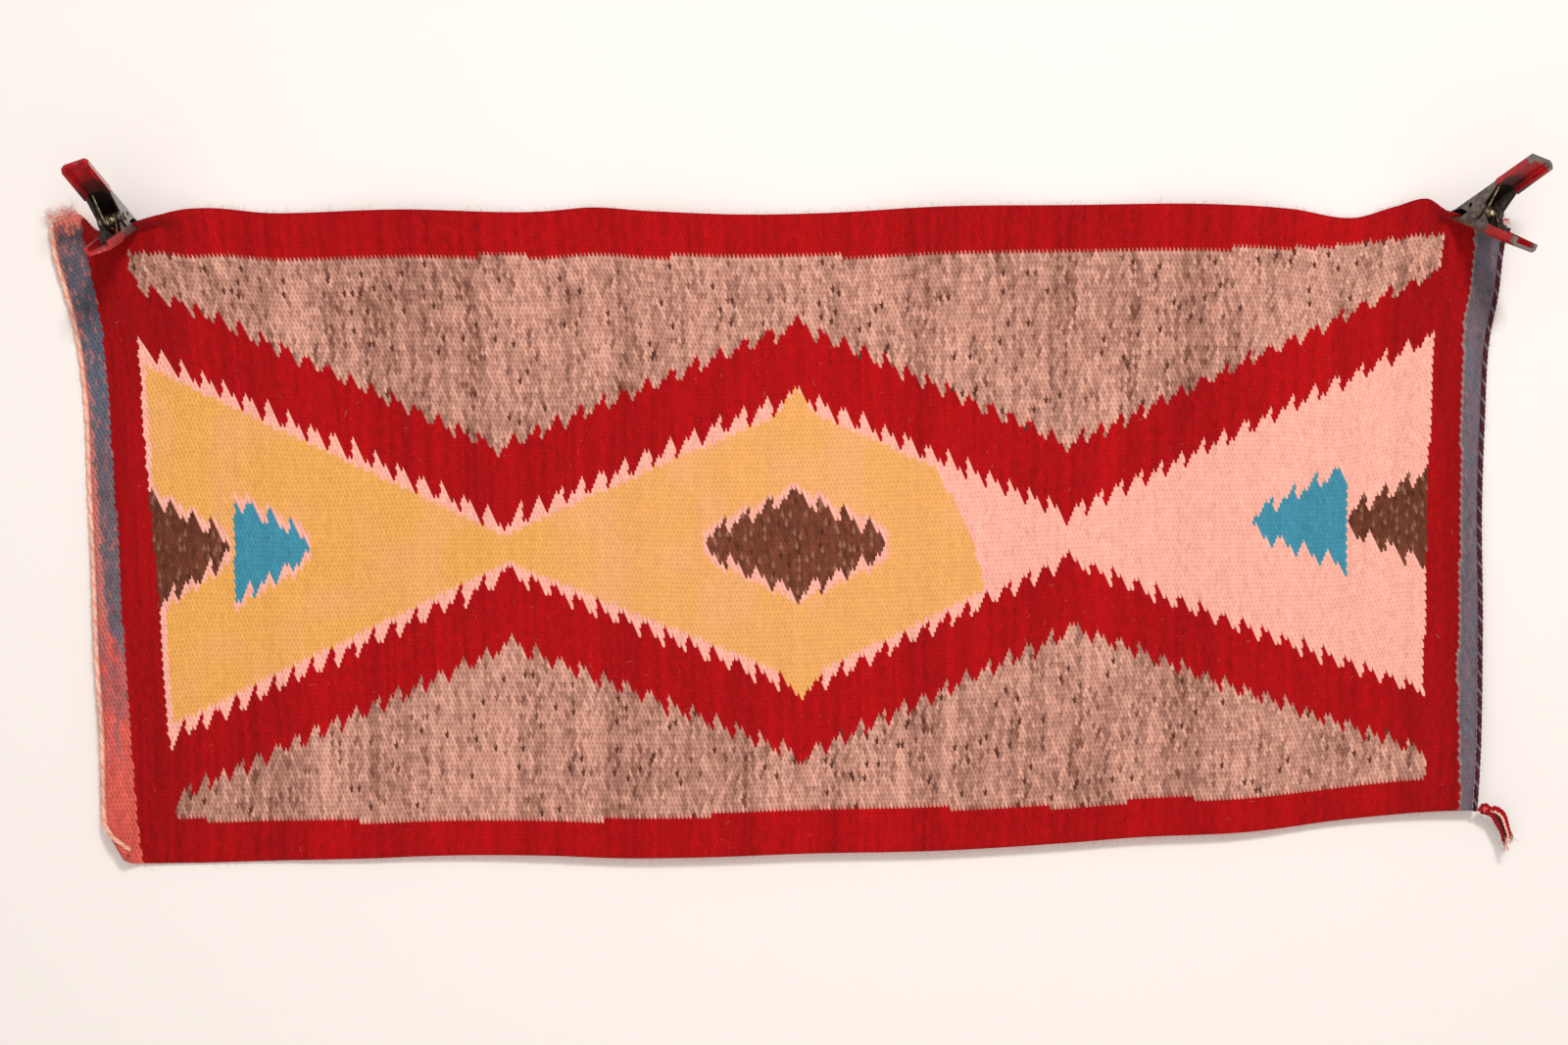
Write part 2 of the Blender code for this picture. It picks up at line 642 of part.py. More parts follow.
def make_spring(name, material, parent):
    """The torsion spring: turns about the pin and a straight leg along each handle."""
    tip, along, _ = lever_frame()
    rise = SHEET / 2 + GAP + SPRING_WIRE / 2
    leg_height = tip[1] + (SPRING_LEG_REACH - tip[0]) * math.tan(LEVER_SLOPE)
    leg_height -= rise / math.cos(LEVER_SLOPE)
    reach = math.hypot(SPRING_LEG_REACH, leg_height)
    leave = math.atan2(leg_height, SPRING_LEG_REACH) - math.acos(SPRING_COIL_RADIUS / reach)
    first = -leave
    last = 2 * math.pi * SPRING_TURNS + leave
    turns = (last - first) / (2 * math.pi)
    count = int(turns * SPRING_POINTS_PER_TURN)
    angle = np.linspace(first, last, count)
    across = SPRING_PITCH * turns * (np.linspace(0.0, 1.0, count) - 0.5)
    coil = np.stack([SPRING_COIL_RADIUS * np.cos(angle), SPRING_COIL_RADIUS * np.sin(angle),
                     across], axis=1)
    low_leg = (SPRING_LEG_REACH, -leg_height, across[0])
    top_leg = (SPRING_LEG_REACH, leg_height, across[-1])
    points = [low_leg] + [tuple(point) for point in coil] + [top_leg]
    return wire(name, points, SPRING_WIRE / 2, 2, material, parent=parent)


def jaw_place(lip):
    """Returns where the jaws' tips meet on the lip, and the clamp's three directions."""
    slope, lean = lip["slope"], lip["lean"]
    normal = Vector((-slope * math.sin(lean), math.cos(lean), math.sin(lean))).normalized()
    heading = Vector((*lip["heading"], 0.0))
    heading = (heading - heading.dot(normal) * normal).normalized()
    fold = lip["height"] - lip_rise(lean)
    past_bend = LIP_LENGTH - LIP_BEND_RADIUS * lean - lip["grip"]
    forward = LIP_BEND_RADIUS * (1 - math.cos(lean)) + past_bend * math.sin(lean)
    up = LIP_BEND_RADIUS * math.sin(lean) + past_bend * math.cos(lean)
    tip = Vector((lip["middle"], -LIP_DEPTH - forward, fold + up))
    return tip, heading, normal


def make_clamp(side, materials):
    """One spring clamp: two levers, their pin and spring, and the dipped handle ends."""
    tip, heading, normal = jaw_place(LIPS[side])
    axis = heading.cross(normal)
    turn = Matrix((heading, normal, axis)).transposed().to_4x4()
    place = Matrix.Translation(tip + heading * JAW_REACH) @ turn
    holder = make_empty("clamp_%s_pivot" % side, place, FRONT_VIEW)
    base = "clamp_%s_" % side
    for upper, word in ((True, "upper"), (False, "lower")):
        make_lever(base + word + "_lever", upper, materials["steel"], holder)
        make_dip(base + word + "_dip", upper, materials["dip"], holder)
    make_pin(base + "pin", materials["steel"], holder)
    make_spring(base + "spring", materials["spring"], holder)


LEVER_LENGTH = (JAW_REACH + HANDLE_REACH) / math.cos(LEVER_SLOPE)

clear_scene()
PARTS = make_collection("navajo_rug")
CUTTERS = make_collection("cutters")
FRONT_VIEW = make_empty("front_view_middle", Matrix.Translation(FRONT_VIEW_MIDDLE))
make_rug(make_material("rug_wool", COLOURS["rug"], 0.92))
for cord_side in CORDS:
    make_end_cord(cord_side)
make_loose_yarn()
CLAMP_MATERIALS = {
    "steel": make_material("clamp_steel", COLOURS["steel"], 0.45, 0.9),
    "dip": make_material("handle_dip", COLOURS["dip"], 0.4),
    "spring": make_material("spring_steel", COLOURS["spring"], 0.35, 1.0),
}
for clamp_side in LIPS:
    make_clamp(clamp_side, CLAMP_MATERIALS)
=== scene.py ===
"""Dresses a small Navajo rug that hangs sideways from the two spring clamps on its top edge.

Each operator makes one piece or a group of like pieces: the woven cloth, its end cords, its loose
yarn, its wool fuzz and the clamps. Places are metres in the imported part's frame. The cloth's
tables are millimetres from the middle of its front view.
"""
import math

import bpy
import numpy as np
from bpy.props import FloatProperty, FloatVectorProperty, IntProperty, PointerProperty
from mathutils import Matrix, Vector


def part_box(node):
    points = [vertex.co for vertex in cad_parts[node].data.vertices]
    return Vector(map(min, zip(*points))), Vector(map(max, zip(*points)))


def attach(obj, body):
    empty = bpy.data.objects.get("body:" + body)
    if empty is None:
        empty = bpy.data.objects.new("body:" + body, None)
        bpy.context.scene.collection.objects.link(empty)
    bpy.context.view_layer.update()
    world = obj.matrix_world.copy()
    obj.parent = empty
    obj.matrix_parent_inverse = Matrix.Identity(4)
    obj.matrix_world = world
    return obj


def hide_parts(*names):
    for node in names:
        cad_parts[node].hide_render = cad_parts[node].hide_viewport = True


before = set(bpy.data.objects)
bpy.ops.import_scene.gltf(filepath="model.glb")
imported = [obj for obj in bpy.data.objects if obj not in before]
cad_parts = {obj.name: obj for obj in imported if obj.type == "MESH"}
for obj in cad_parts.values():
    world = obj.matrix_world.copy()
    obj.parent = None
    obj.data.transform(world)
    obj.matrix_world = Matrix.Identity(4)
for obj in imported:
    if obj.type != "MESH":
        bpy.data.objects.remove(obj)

bl_info = {
    "name": "Navajo Rug Dresser",
    "version": (1, 0, 0),
    "blender": (4, 5, 0),
    "location": "3D View > Sidebar > Rug",
    "description": "Weaves, finishes and lights a small hanging rug and its clamps",
    "category": "Object",
}

BODY = "root"
FRONT_VIEW_MIDDLE = np.array((-0.0085, 0.0, -0.259))

# Photograph: its width covers this much of the cloth's plane, seen from this far
FRAME_WIDTH = 1.36
CAMERA_DISTANCE = 2.2
SENSOR_WIDTH = 36.0

# Cloth: thickness, and how far its middle surface stands off the plane behind it
RUG_THICKNESS = 0.004
STAND_OFF = 0.006
GAP = 0.0003

# Its flat size, and how far the first and last stitches keep from its ends
FLAT_SIZE = (1.232, 0.565)
EDGE_INSET = 0.0013

# The middle of the rug hangs flat, and its folds fade in beyond it
FLAT_HALF_LENGTH = 0.170
FLAT_HALF_HEIGHT = 0.090
FLAT_FADE = 0.5
FLARE = {"depth": 0.008, "height": 0.150, "from_x": -0.45, "fade": 0.35}
TOP_WAVE = {"depth": 0.0035, "length": 0.230, "height": 0.110, "shift": 0.55, "mean": 0.6}
END_WAVE = {"depth": 0.004, "length": 0.62, "from_x": 0.32, "fade": 0.15, "rise": 1.1, "run": 1.6}
CLAMP_FOLD = {"depth": 0.006, "middle": 0.553, "half_width": 0.017, "height": 0.075}

# Outline of the hanging cloth as it is seen from the front, in millimetres
TOP_EDGE = {
    "x": (-634, -612, -592, -566, -546, -520, -442, -340, -204, -170, -119, -51, 34,
          136, 238, 374, 442, 498, 530, 560, 583, 605, 622),
    "z": (260.0, 267.5, 264.0, 256.0, 263.5, 271.0, 268.6, 270.9, 270.3, 273.2, 269.8, 267.0, 268.5,
          273.5, 275.4, 275.4, 272.0, 265.0, 274.0, 279.5, 264.0, 260.0, 257.0),
}
BOTTOM_EDGE = {
    "x": (-586, -510, -425, -350, -306, -204, -142, -75, 16, 136, 246, 302, 404, 494, 577, 594),
    "z": (-296, -295.5, -293, -290.8, -288.8, -288.2, -290.2, -289.6, -286.3, -283.6, -276.8,
          -272.3, -267.3, -256, -249, -248.6),
}
LEFT_EDGE = {
    "z": (-296, -240, -193, -116, -40, 36, 113, 164, 200, 230, 260),
    "x": (-586, -587.5, -588, -593, -596.5, -601, -605, -612, -620.5, -629, -634),
}
RIGHT_EDGE = {
    "z": (-248.6, -193, -91, 11, 87, 164, 200, 230, 257),
    "x": (594, 597.5, 601, 601.5, 604.5, 609, 615, 618, 622),
}

# Rolled bottom left corner: a fold line in the front view, and the roll's radius
ROLL_LINE_START = (-0.5830, -0.2480)
ROLL_LINE_END = (-0.5560, -0.2960)
ROLL_RADIUS = 0.0085
ROLL_LARGEST_ANGLE = math.radians(165)

# Lips at the two clamps, where the cloth bends forward between the jaws
LIP_BEND_RADIUS = 0.005
LIP_DEPTH = 0.010
LIP_LENGTH = 0.021
LEVEL_BELOW_TOP = 0.030
BAND_BELOW_LIP = 0.070
LIPS = {
    "left": {
        "middle": -0.566, "height": 0.2545, "slope": 0.316, "lean": math.radians(83.7),
        "plateau": (0.015, 0.015), "fade": (0.032, 0.045), "grip": 0.010,
        "heading": (-0.08, -0.99),
    },
    "right": {
        "middle": 0.583, "height": 0.2635, "slope": -0.232, "lean": math.radians(82.8),
        "plateau": (0.012, 0.019), "fade": (0.013, 0.045), "grip": 0.009,
        "heading": (0.39, -0.92),
    },
}

# Woven pattern in the front view, in millimetres: stripes, borders and fields
LEFT_BAND = {
    "z": (-293, -269, -193, -82, -17, 48, 113, 156, 198, 249),
    "x": (-556, -560, -565.5, -573, -577, -582, -587.5, -591, -597, -607),
}
RIGHT_BAND = {
    "z": (-248, -125, -99, 79, 131, 178, 233),
    "x": (582.5, 581.5, 583, 587, 588, 590, 597),
}
LEFT_FIELD = {
    "z": (-248, -194, -161, -122, -78, 35, 80, 113, 160, 215, 233),
    "x": (-527.5, -532, -535.5, -537.5, -539.5, -551.5, -555.5, -558, -561.5, -567, -568),
}
RIGHT_FIELD = {
    "z": (-219, -203, -151, -125, -41, 66, 99, 133, 170, 226, 249),
    "x": (554, 554.5, 552.5, 553, 555, 559, 561.6, 562.7, 565, 569.4, 570.5),
}
TOP_FIELD = {
    "x": (-568, -464, -377, -323, 0, 76, 190, 228, 342, 474, 550, 570),
    "z": (234, 230.5, 229.5, 232, 230.5, 232, 237, 235.5, 237, 240, 249, 250),
}
BOTTOM_FIELD = {
    "x": (-527, -340, -170, -120, -40, 47, 170, 235, 279, 309, 366, 430, 473, 510, 529, 554),
    "z": (-256.5, -257.5, -256.5, -254, -250.5, -247.5, -245, -244.5, -242.5, -237, -237, -233.5,
          -230.5, -226, -221.5, -218.5),
}

# Serrated edges: corners from left to right. For each leg: how many teeth it has, how high they
# are, how much they crowd towards the low corner, how wide a tooth's steep side is, and how far
# the leg bows up between its corners
TOP_ZIGZAG_UPPER = {
    "x": (-568.5, -248, 11, 244.6, 571), "z": (218, 58, 180.7, 61.7, 227),
    "teeth": (17, 13, 13, 17), "height": (13.4, 14.8, 15.2, 12),
    "crowd": (0, 0.10, 0.045, 0.164), "steep": (1.6, 2.4, 1.7, 2.0),
    "bow": (0, 0, 0, 0),
}
TOP_ZIGZAG_LOWER = {
    "x": (-560.4, -242.5, 9.8, 244.4, 565), "z": (158.8, -8.5, 120.6, 0.3, 170),
    "teeth": (17, 13, 13, 17), "height": (17.3, 17.5, 15.8, 14.2),
    "crowd": (-0.02, 0.147, 0.065, 0.148), "steep": (1.8, 2.8, 2.0, 2.0),
    "bow": (0, 1.5, 0, 0),
}
BOTTOM_ZIGZAG_UPPER = {
    "x": (-531, -240, 15, 245.6, 553), "z": (-194, -34.5, -153.4, -23.3, -151.5),
    "teeth": (17, 13, 13, 17), "height": (17.5, 16, 15.6, 14.6),
    "crowd": (0.18, -0.03, -0.08, 0.06), "steep": (3.2, 0.8, 1.8, 0.8),
    "bow": (0, 0, 0, -2.2),
}
BOTTOM_ZIGZAG_LOWER = {
    "x": (-527.5, -236.7, 15.5, 251.1, 554), "z": (-244.5, -97, -209.6, -83.7, -203),
    "teeth": (17, 13, 13, 17), "height": (14, 15.5, 14.5, 13.3),
    "crowd": (0.17, 0, 0, 0.05), "steep": (3.0, 0.8, 2.1, 0.8),
    "bow": (0, 0, 0, -3.0),
}

# Steep sides of a motif's teeth, and the pink rims round the fields: between the red zigzags,
# within the middle apex, and beside the left border
MOTIF_STEEP = 2.4
FIELD_OUTLINE = 1.6
APEX_RIM = 2.2
CORNER_REACH = 18.0
SIDE_OUTLINE = 4.8

# A motif's outline: its height over the teeth, and how far it passes the tips at the sides
OUTLINE_WIDTH = 3.6
MOTIF_SIDE = 1.6

# Motifs: an upper and a lower serrated edge, with an outline or without. One that is cut off
# has a side, left or right, as a line through a few points
MOTIFS = (
    {"yarn": "brown", "outline": True, "side": None,
     "upper": {"x": (-69, 9, 89), "z": (-17.5, 33, -17.5), "teeth": (4, 4), "height": (13, 15)},
     "lower": {"x": (-69, 12, 89), "z": (-17.5, -67.5, -17.5), "teeth": (4, 4),
               "height": (12, 14)}},
    {"yarn": "brown", "outline": True, "side": None,
     "upper": {"x": (-566, -551.5, -480.5), "z": (32, 32, -21), "teeth": (1, 4),
               "height": (0, 14.5)},
     "lower": {"x": (-566, -541.5, -480.5), "z": (-78, -78, -21), "teeth": (1, 4),
               "height": (0, 13)}},
    {"yarn": "turquoise", "outline": True,
     "side": ((-483.5, 32), (-475, -74)), "side_is": "left",
     "upper": {"x": (-484, -412), "z": (32, -20.5), "teeth": (4,), "height": (15,)},
     "lower": {"x": (-476, -412), "z": (-74, -20.5), "teeth": (4,), "height": (12.5,)}},
    {"yarn": "turquoise", "outline": False,
     "side": ((479.5, 52), (488, 30.5), (486, -46)), "side_is": "right",
     "upper": {"x": (405.5, 480, 489), "z": (1.5, 52, 30), "teeth": (4, 1), "height": (14, 0)},
     "lower": {"x": (405.5, 487), "z": (1.5, -46), "teeth": (4,), "height": (14.5,)}},
    {"yarn": "brown", "outline": False, "side": None,
     "upper": {"x": (486, 559.5, 575), "z": (2.5, 54.5, 54.5), "teeth": (4, 1),
               "height": (15, 0)},
     "lower": {"x": (486, 555, 575), "z": (2.5, -41.5, -41.5), "teeth": (4, 1),
               "height": (14.5, 0)}},
)

# Line where the yellow yarn of the middle field gives way to the pink one
YARN_CHANGE = {"z": (-56, -29, 1, 28, 53), "x": (173.5, 167.5, 155.5, 142, 131)}

# Noise over the cloth: whether its cells are counted in picks or measured in millimetres along
# the rug, their length and height, and what is added to the seed
CLOTH_NOISE = {
    "streak": ("picks", 2.0, 90.0, 1),
    "short": ("picks", 1.6, 13.0, 4),
    "wide": ("millimetres", 26.0, 320.0, 2),
    "patch": ("millimetres", 30.0, 38.0, 3),
}

# How much each wool's shade varies from stitch to stitch, by streaks and over wide parts
DYE_SPREAD = {
    "red": (0.07, 0.30, 0.26),
    "pink": (0.05, 0.08, 0.07),
    "turquoise": (0.05, 0.12, 0.05),
    "yellow": (0.03, 0.07, 0.04),
    "brown": (0.16, 0.35, 0.05),
    "band_grey": (0.10, 0.25, 0.12),
    "coral": (0.09, 0.25, 0.0),
}
SHADE_LIMITS = (0.2, 1.9)
RED_ENDS = {"darker": 0.17, "from_x": 500.0, "fade": 50.0}
BLUSH = {"patches": 0.14, "above": 0.02, "rise": 0.35, "middle": 0.10, "from_x": -240.0,
         "fade": 60.0}
BROWN_FLECKS = {"above": 0.90, "share": 0.75, "side_x": 300.0, "side_darker": 0.20}
GREY_MIX = {"tone": 0.19, "short": 0.26, "streak": 0.46, "wide": 0.40, "patch": 0.16}
GREY_LIGHT_SHARE = 0.55
GREY_FLECKS = {"share": 0.014, "short": 0.04, "patch": 0.03}

# Stripes at the two ends: blue wool carded into the grey, and coral dots beside the red
STRIPE_BLUE = {"share": 0.35, "shade": 0.8, "above": -0.05, "rise": 0.4}
STRIPE_DOTS = {"share": 0.35, "shade": 0.6, "width": 1.8}

# Left stripe: how far in its coral wool reaches, as a share of the stripe, and how it is mixed
CORAL_REACH = {
    "z": (-215, -176, -130, -104, -90, 0, 60, 200, 262),
    "share": (1.6, 1.20, 0.95, 0.75, 0.34, 0.25, 0.17, 0.10, 0.12),
}
SCALLOP = 17.6
CORAL_LINE = {"scallop": 0.06, "streak": 0.16, "short": 0.16, "tone": 0.05, "softness": 0.22}
CORAL_SHARE = {"full": 0.90, "less_above": 0.25, "faded_above": 0.35}
CORAL_FLECKS = {"short_share": 0.16, "short_above": 0.12, "short_rise": 0.3,
                "stitch_share": 0.30, "stitch_above": 0.82}
UPPER_PART = {"from_z": -110.0, "fade": 50.0}
BLUE_PART = {"share": 0.45, "z": 150.0, "half_height": 130.0, "above": -0.30, "rise": 0.35}
MIXED_PART = {"z": (-215, -85), "less": 0.42, "short": 0.8, "above": 0.10, "rise": 0.22}
TOP_CORAL = {"share": 0.85, "from_z": 251.0, "ragged": 3.0, "fade": 8.0}
DARK_TOP = {"share": 0.25, "from_z": 90.0, "fade": 80.0}

# How dark the painted shade in the gaps between stitches is, as a multiple of the weave's own gap
# shade
GREY_PAINTED_GAP_SHADE = 2.1
LEFT_STRIPE_PAINTED_GAP_SHADE = 1.9


def smooth_step(value):
    """Runs from 0 to 1 with level ends."""
    value = np.clip(value, 0.0, 1.0)
    return value * value * (3.0 - 2.0 * value)


def unit(vectors):
    """Scales vectors to a length of 1; one of no length stays as it is."""
    length = np.linalg.norm(vectors, axis=-1)
    return vectors / np.maximum(length, 1e-12)[..., None]


def linear(colour):
    """Turns display colours into scene linear ones."""
    colour = np.asarray(colour, float)
    return np.where(colour <= 0.04045, colour / 12.92, ((colour + 0.055) / 1.055) ** 2.4)


def wool(name):
    """Returns a colour of the rug's palette, as a linear one."""
    return linear(getattr(bpy.context.scene.rug_colours, name))


def through(table_in, table_out, where):
    """Reads a smooth curve through a table's points, by cubic pieces with mean slopes."""
    x = np.asarray(table_in, float) / 1000.0
    y = np.asarray(table_out, float) / 1000.0
    slope = np.gradient(y, x)
    where = np.clip(where, x[0], x[-1])
    k = np.clip(np.searchsorted(x, where) - 1, 0, len(x) - 2)
    width = x[k + 1] - x[k]
    t = (where - x[k]) / width
    start = (1 + 2 * t) * (1 - t) ** 2 * y[k] + t * (1 - t) ** 2 * width * slope[k]
    end = t * t * (3 - 2 * t) * y[k + 1] + t * t * (t - 1) * width * slope[k + 1]
    return start + end


def plateau(x, lip):
    """Is 1 across a clamp's grip and fades to 0 on both sides."""
    left = (lip["middle"] - lip["plateau"][0] - x) / lip["fade"][0]
    right = (x - lip["middle"] - lip["plateau"][1]) / lip["fade"][1]
    return 1.0 - smooth_step(np.maximum(left, right))


def lip_lean(x):
    """Gives the angle by which the top of the cloth leans forward."""
    return sum(lip["lean"] * plateau(x, lip) for lip in LIPS.values())


def top_silhouette(x):
    """Gives the height of the top edge, straight across each clamp's grip."""
    height = through(TOP_EDGE["x"], TOP_EDGE["z"], x)
    for lip in LIPS.values():
        level = lip["height"] + lip["slope"] * (x - lip["middle"])
        height += (level - height) * plateau(x, lip)
    return height


def lip_rise(lean):
    """Gives how far the lip reaches above the line where it starts to bend."""
    bent = LIP_BEND_RADIUS * np.sin(lean)
    return bent + (LIP_LENGTH - LIP_BEND_RADIUS * lean) * np.cos(lean)


def cloth_depth(x, z):
    """Gives how far the cloth's middle surface stands in front of the plane behind it."""
    top = through(TOP_EDGE["x"], TOP_EDGE["z"], x)
    low = through(BOTTOM_EDGE["x"], BOTTOM_EDGE["z"], x)
    flare = smooth_step(1.0 - (z - low) / FLARE["height"])
    flare = flare * smooth_step((x - FLARE["from_x"]) / FLARE["fade"])
    folds = FLARE["depth"] * flare
    near_top = smooth_step(1.0 - (top - z) / TOP_WAVE["height"])
    wave = np.cos(2 * math.pi * (x + TOP_WAVE["shift"]) / TOP_WAVE["length"])
    folds += TOP_WAVE["depth"] * near_top * (TOP_WAVE["mean"] + wave)
    near_end = smooth_step((np.abs(x) - END_WAVE["from_x"]) / END_WAVE["fade"])
    slant = z * END_WAVE["rise"] + END_WAVE["run"] * np.abs(x)
    folds += END_WAVE["depth"] * near_end * np.sin(2 * math.pi * slant / END_WAVE["length"])
    stand = np.exp(-((x - CLAMP_FOLD["middle"]) / CLAMP_FOLD["half_width"]) ** 2)
    folds += CLAMP_FOLD["depth"] * stand * smooth_step(1.0 - (top - z) / CLAMP_FOLD["height"])
    middle = np.maximum(np.abs(x) / FLAT_HALF_LENGTH, np.abs(z) / FLAT_HALF_HEIGHT)
    depth = STAND_OFF + folds * smooth_step((middle - 1.0) / FLAT_FADE)
    for lip in LIPS.values():
        below = top - z - LEVEL_BELOW_TOP
        near = plateau(x, lip) * smooth_step(1.0 - below / BAND_BELOW_LIP)
        depth += (LIP_DEPTH - depth) * near
    return np.maximum(depth, RUG_THICKNESS / 2 + GAP)


def roll_corner(points):
    """Bends what lies past the fold line forward around the roll's radius."""
    start = np.array(ROLL_LINE_START)
    along = unit(np.array(ROLL_LINE_END) - start)
    outward = np.array((along[1], -along[0]))
    flat = points[..., (0, 2)]
    past = (flat - start) @ outward
    bend = np.clip(past / ROLL_RADIUS, 0.0, ROLL_LARGEST_ANGLE)
    rest = np.maximum(past - ROLL_RADIUS * bend, 0.0)
    out = ROLL_RADIUS * np.sin(bend) + rest * np.cos(bend)
    forward = ROLL_RADIUS * (1 - np.cos(bend)) + rest * np.sin(bend)
    shift = np.where(past > 0, out - past, 0.0)
    points[..., (0, 2)] += shift[..., None] * outward
    points[..., 1] -= np.where(past > 0, forward, 0.0)
    return points


def cloth_surface(u, share):
    """Places the cloth's middle surface and returns it with its flat pattern coordinates.

    u runs along the rug from 0 to 1. share runs up each column of cloth from 0 at the bottom
    edge to 1 at the top edge, over the body first and then over the lip, which bends forward
    by an arc and goes on straight. The side edges bend the straight lines between corners.
    """
    x_low = (BOTTOM_EDGE["x"][0] + u * (BOTTOM_EDGE["x"][-1] - BOTTOM_EDGE["x"][0])) / 1000
    x_top = (TOP_EDGE["x"][0] + u * (TOP_EDGE["x"][-1] - TOP_EDGE["x"][0])) / 1000
    low = through(BOTTOM_EDGE["x"], BOTTOM_EDGE["z"], x_low)
    lean = lip_lean(x_top)
    top = top_silhouette(x_top)
    fold = top - lip_rise(lean)
    length = share * (fold - low + LIP_LENGTH)
    lip = np.maximum(length - (fold - low), 0.0)
    z_body = np.minimum(low + length, fold)
    bend = np.minimum(lip / LIP_BEND_RADIUS, lean)
    rest = np.maximum(lip - LIP_BEND_RADIUS * bend, 0.0)
    z = z_body + LIP_BEND_RADIUS * np.sin(bend) + rest * np.cos(bend)
    rise = (z - low) / (top - low)
    x = x_low + (x_top - x_low) * rise
    for edge, weight in ((LEFT_EDGE, 1.0 - u), (RIGHT_EDGE, u)):
        z_edge = (edge["z"][0] + (edge["z"][-1] - edge["z"][0]) * rise) / 1000
        straight = (edge["x"][0] + (edge["x"][-1] - edge["x"][0]) * rise) / 1000
        x = x + weight * (through(edge["z"], edge["x"], z_edge) - straight)
    flat = np.stack([x, low + length], axis=-1)
    depth = cloth_depth(x, z_body)
    depth = depth + LIP_BEND_RADIUS * (1 - np.cos(bend)) + rest * np.sin(bend)
    return roll_corner(np.stack([x, -depth, z], axis=-1)) + FRONT_VIEW_MIDDLE, flat


def soft_noise(x, z, length_x, length_z, seed):
    """Gives smooth noise from 0 to 1: random values on a grid, joined by smooth steps."""
    rng = np.random.default_rng(seed)
    x = (x - x.min()) / length_x
    z = (z - z.min()) / length_z
    column, row = x.astype(int), z.astype(int)
    grid = rng.random((row.max() + 2, column.max() + 2))
    fx, fz = smooth_step(x - column), smooth_step(z - row)
    low = grid[row, column] * (1 - fx) + grid[row, column + 1] * fx
    high = grid[row + 1, column] * (1 - fx) + grid[row + 1, column + 1] * fx
    return low * (1 - fz) + high * fz


def serrated(edge, x, which="edge"):
    """Gives the height of a serrated edge, or of the line through its upper or lower points.

    Each leg starts at its high corner with a long fall, then comes a short steep return, and
    so on down to the low corner, which ends the last fall. Crowded teeth follow a parabola
    along the leg, and the leg's mean line stays straight or bows by a parabola.
    """
    height = np.full(x.shape, np.nan)
    corners = list(zip(edge["x"], edge["z"]))
    legs = len(corners) - 1
    none = (0,) * legs
    crowds, bows = edge.get("crowd", none), edge.get("bow", none)
    steeps = edge.get("steep", (MOTIF_STEEP,) * legs)
    for k, (a, b) in enumerate(zip(corners[:-1], corners[1:])):
        here = (x >= a[0]) & (x <= b[0])
        top, foot = (a, b) if a[1] >= b[1] else (b, a)
        count, rise, steep_run = edge["teeth"][k], edge["height"][k], steeps[k]
        run = abs(foot[0] - top[0])
        pitch = (run + steep_run) / count
        fall = (top[1] - foot[1] + (count - 1) * rise) / count
        true_share = np.abs(x[here] - top[0]) / run
        share = true_share
        if crowds[k] != 0:
            total = 1 + crowds[k]
            root = np.sqrt(total ** 2 - 4 * crowds[k] * true_share)
            share = (total - root) / (2 * crowds[k])
        from_top = share * run
        shift = (fall - rise) * count * (share - true_share)
        shift += 4 * bows[k] * true_share * (1 - true_share)
        if which == "upper":
            height[here] = top[1] - (fall - rise) * from_top / pitch + shift
        elif which == "lower":
            last = from_top - (pitch - steep_run)
            height[here] = top[1] - fall - (fall - rise) * last / pitch + shift
        else:
            number = np.floor(from_top / pitch)
            within = from_top - number * pitch
            steep = np.maximum(within - (pitch - steep_run), 0.0) / steep_run
            down = np.minimum(within / (pitch - steep_run), 1.0)
            slope = number * (fall - rise) + fall * down - rise * steep
            height[here] = top[1] - slope + shift
    return height


def edge_height(edge, x, which="edge"):
    """Gives the height of a serrated edge, kept level past its first and last corner."""
    return serrated(edge, np.clip(x, edge["x"][0], edge["x"][-1]), which)


def motif_masks(motif, x, z):
    """Returns where a motif's own yarn lies and where its outline's yarn lies."""
    low, high = min(motif["lower"]["x"][0], motif["upper"]["x"][0]), motif["upper"]["x"][-1]
    inside = (x >= low) & (x <= high)
    upper = serrated(motif["upper"], x)
    lower = serrated(motif["lower"], x)
    own = inside & (z < upper) & (z > lower)
    if motif["side"] is not None:
        points = sorted(motif["side"], key=lambda point: point[1])
        side = np.interp(z, [p[1] for p in points], [p[0] for p in points])
        own &= (x > side) if motif["side_is"] == "left" else (x < side)
    if not motif["outline"]:
        return own, np.zeros_like(own)
    clear_x = np.clip(x, low, high)
    top_line = (serrated(motif["upper"], clear_x, "upper")
                + serrated(motif["upper"], clear_x)) / 2 + OUTLINE_WIDTH
    foot_line = (serrated(motif["lower"], clear_x, "lower")
                 + serrated(motif["lower"], clear_x)) / 2 - OUTLINE_WIDTH
    beside = (x > low - MOTIF_SIDE) & (x < high + MOTIF_SIDE)
    return own, beside & (z < top_line) & (z > foot_line) & ~own


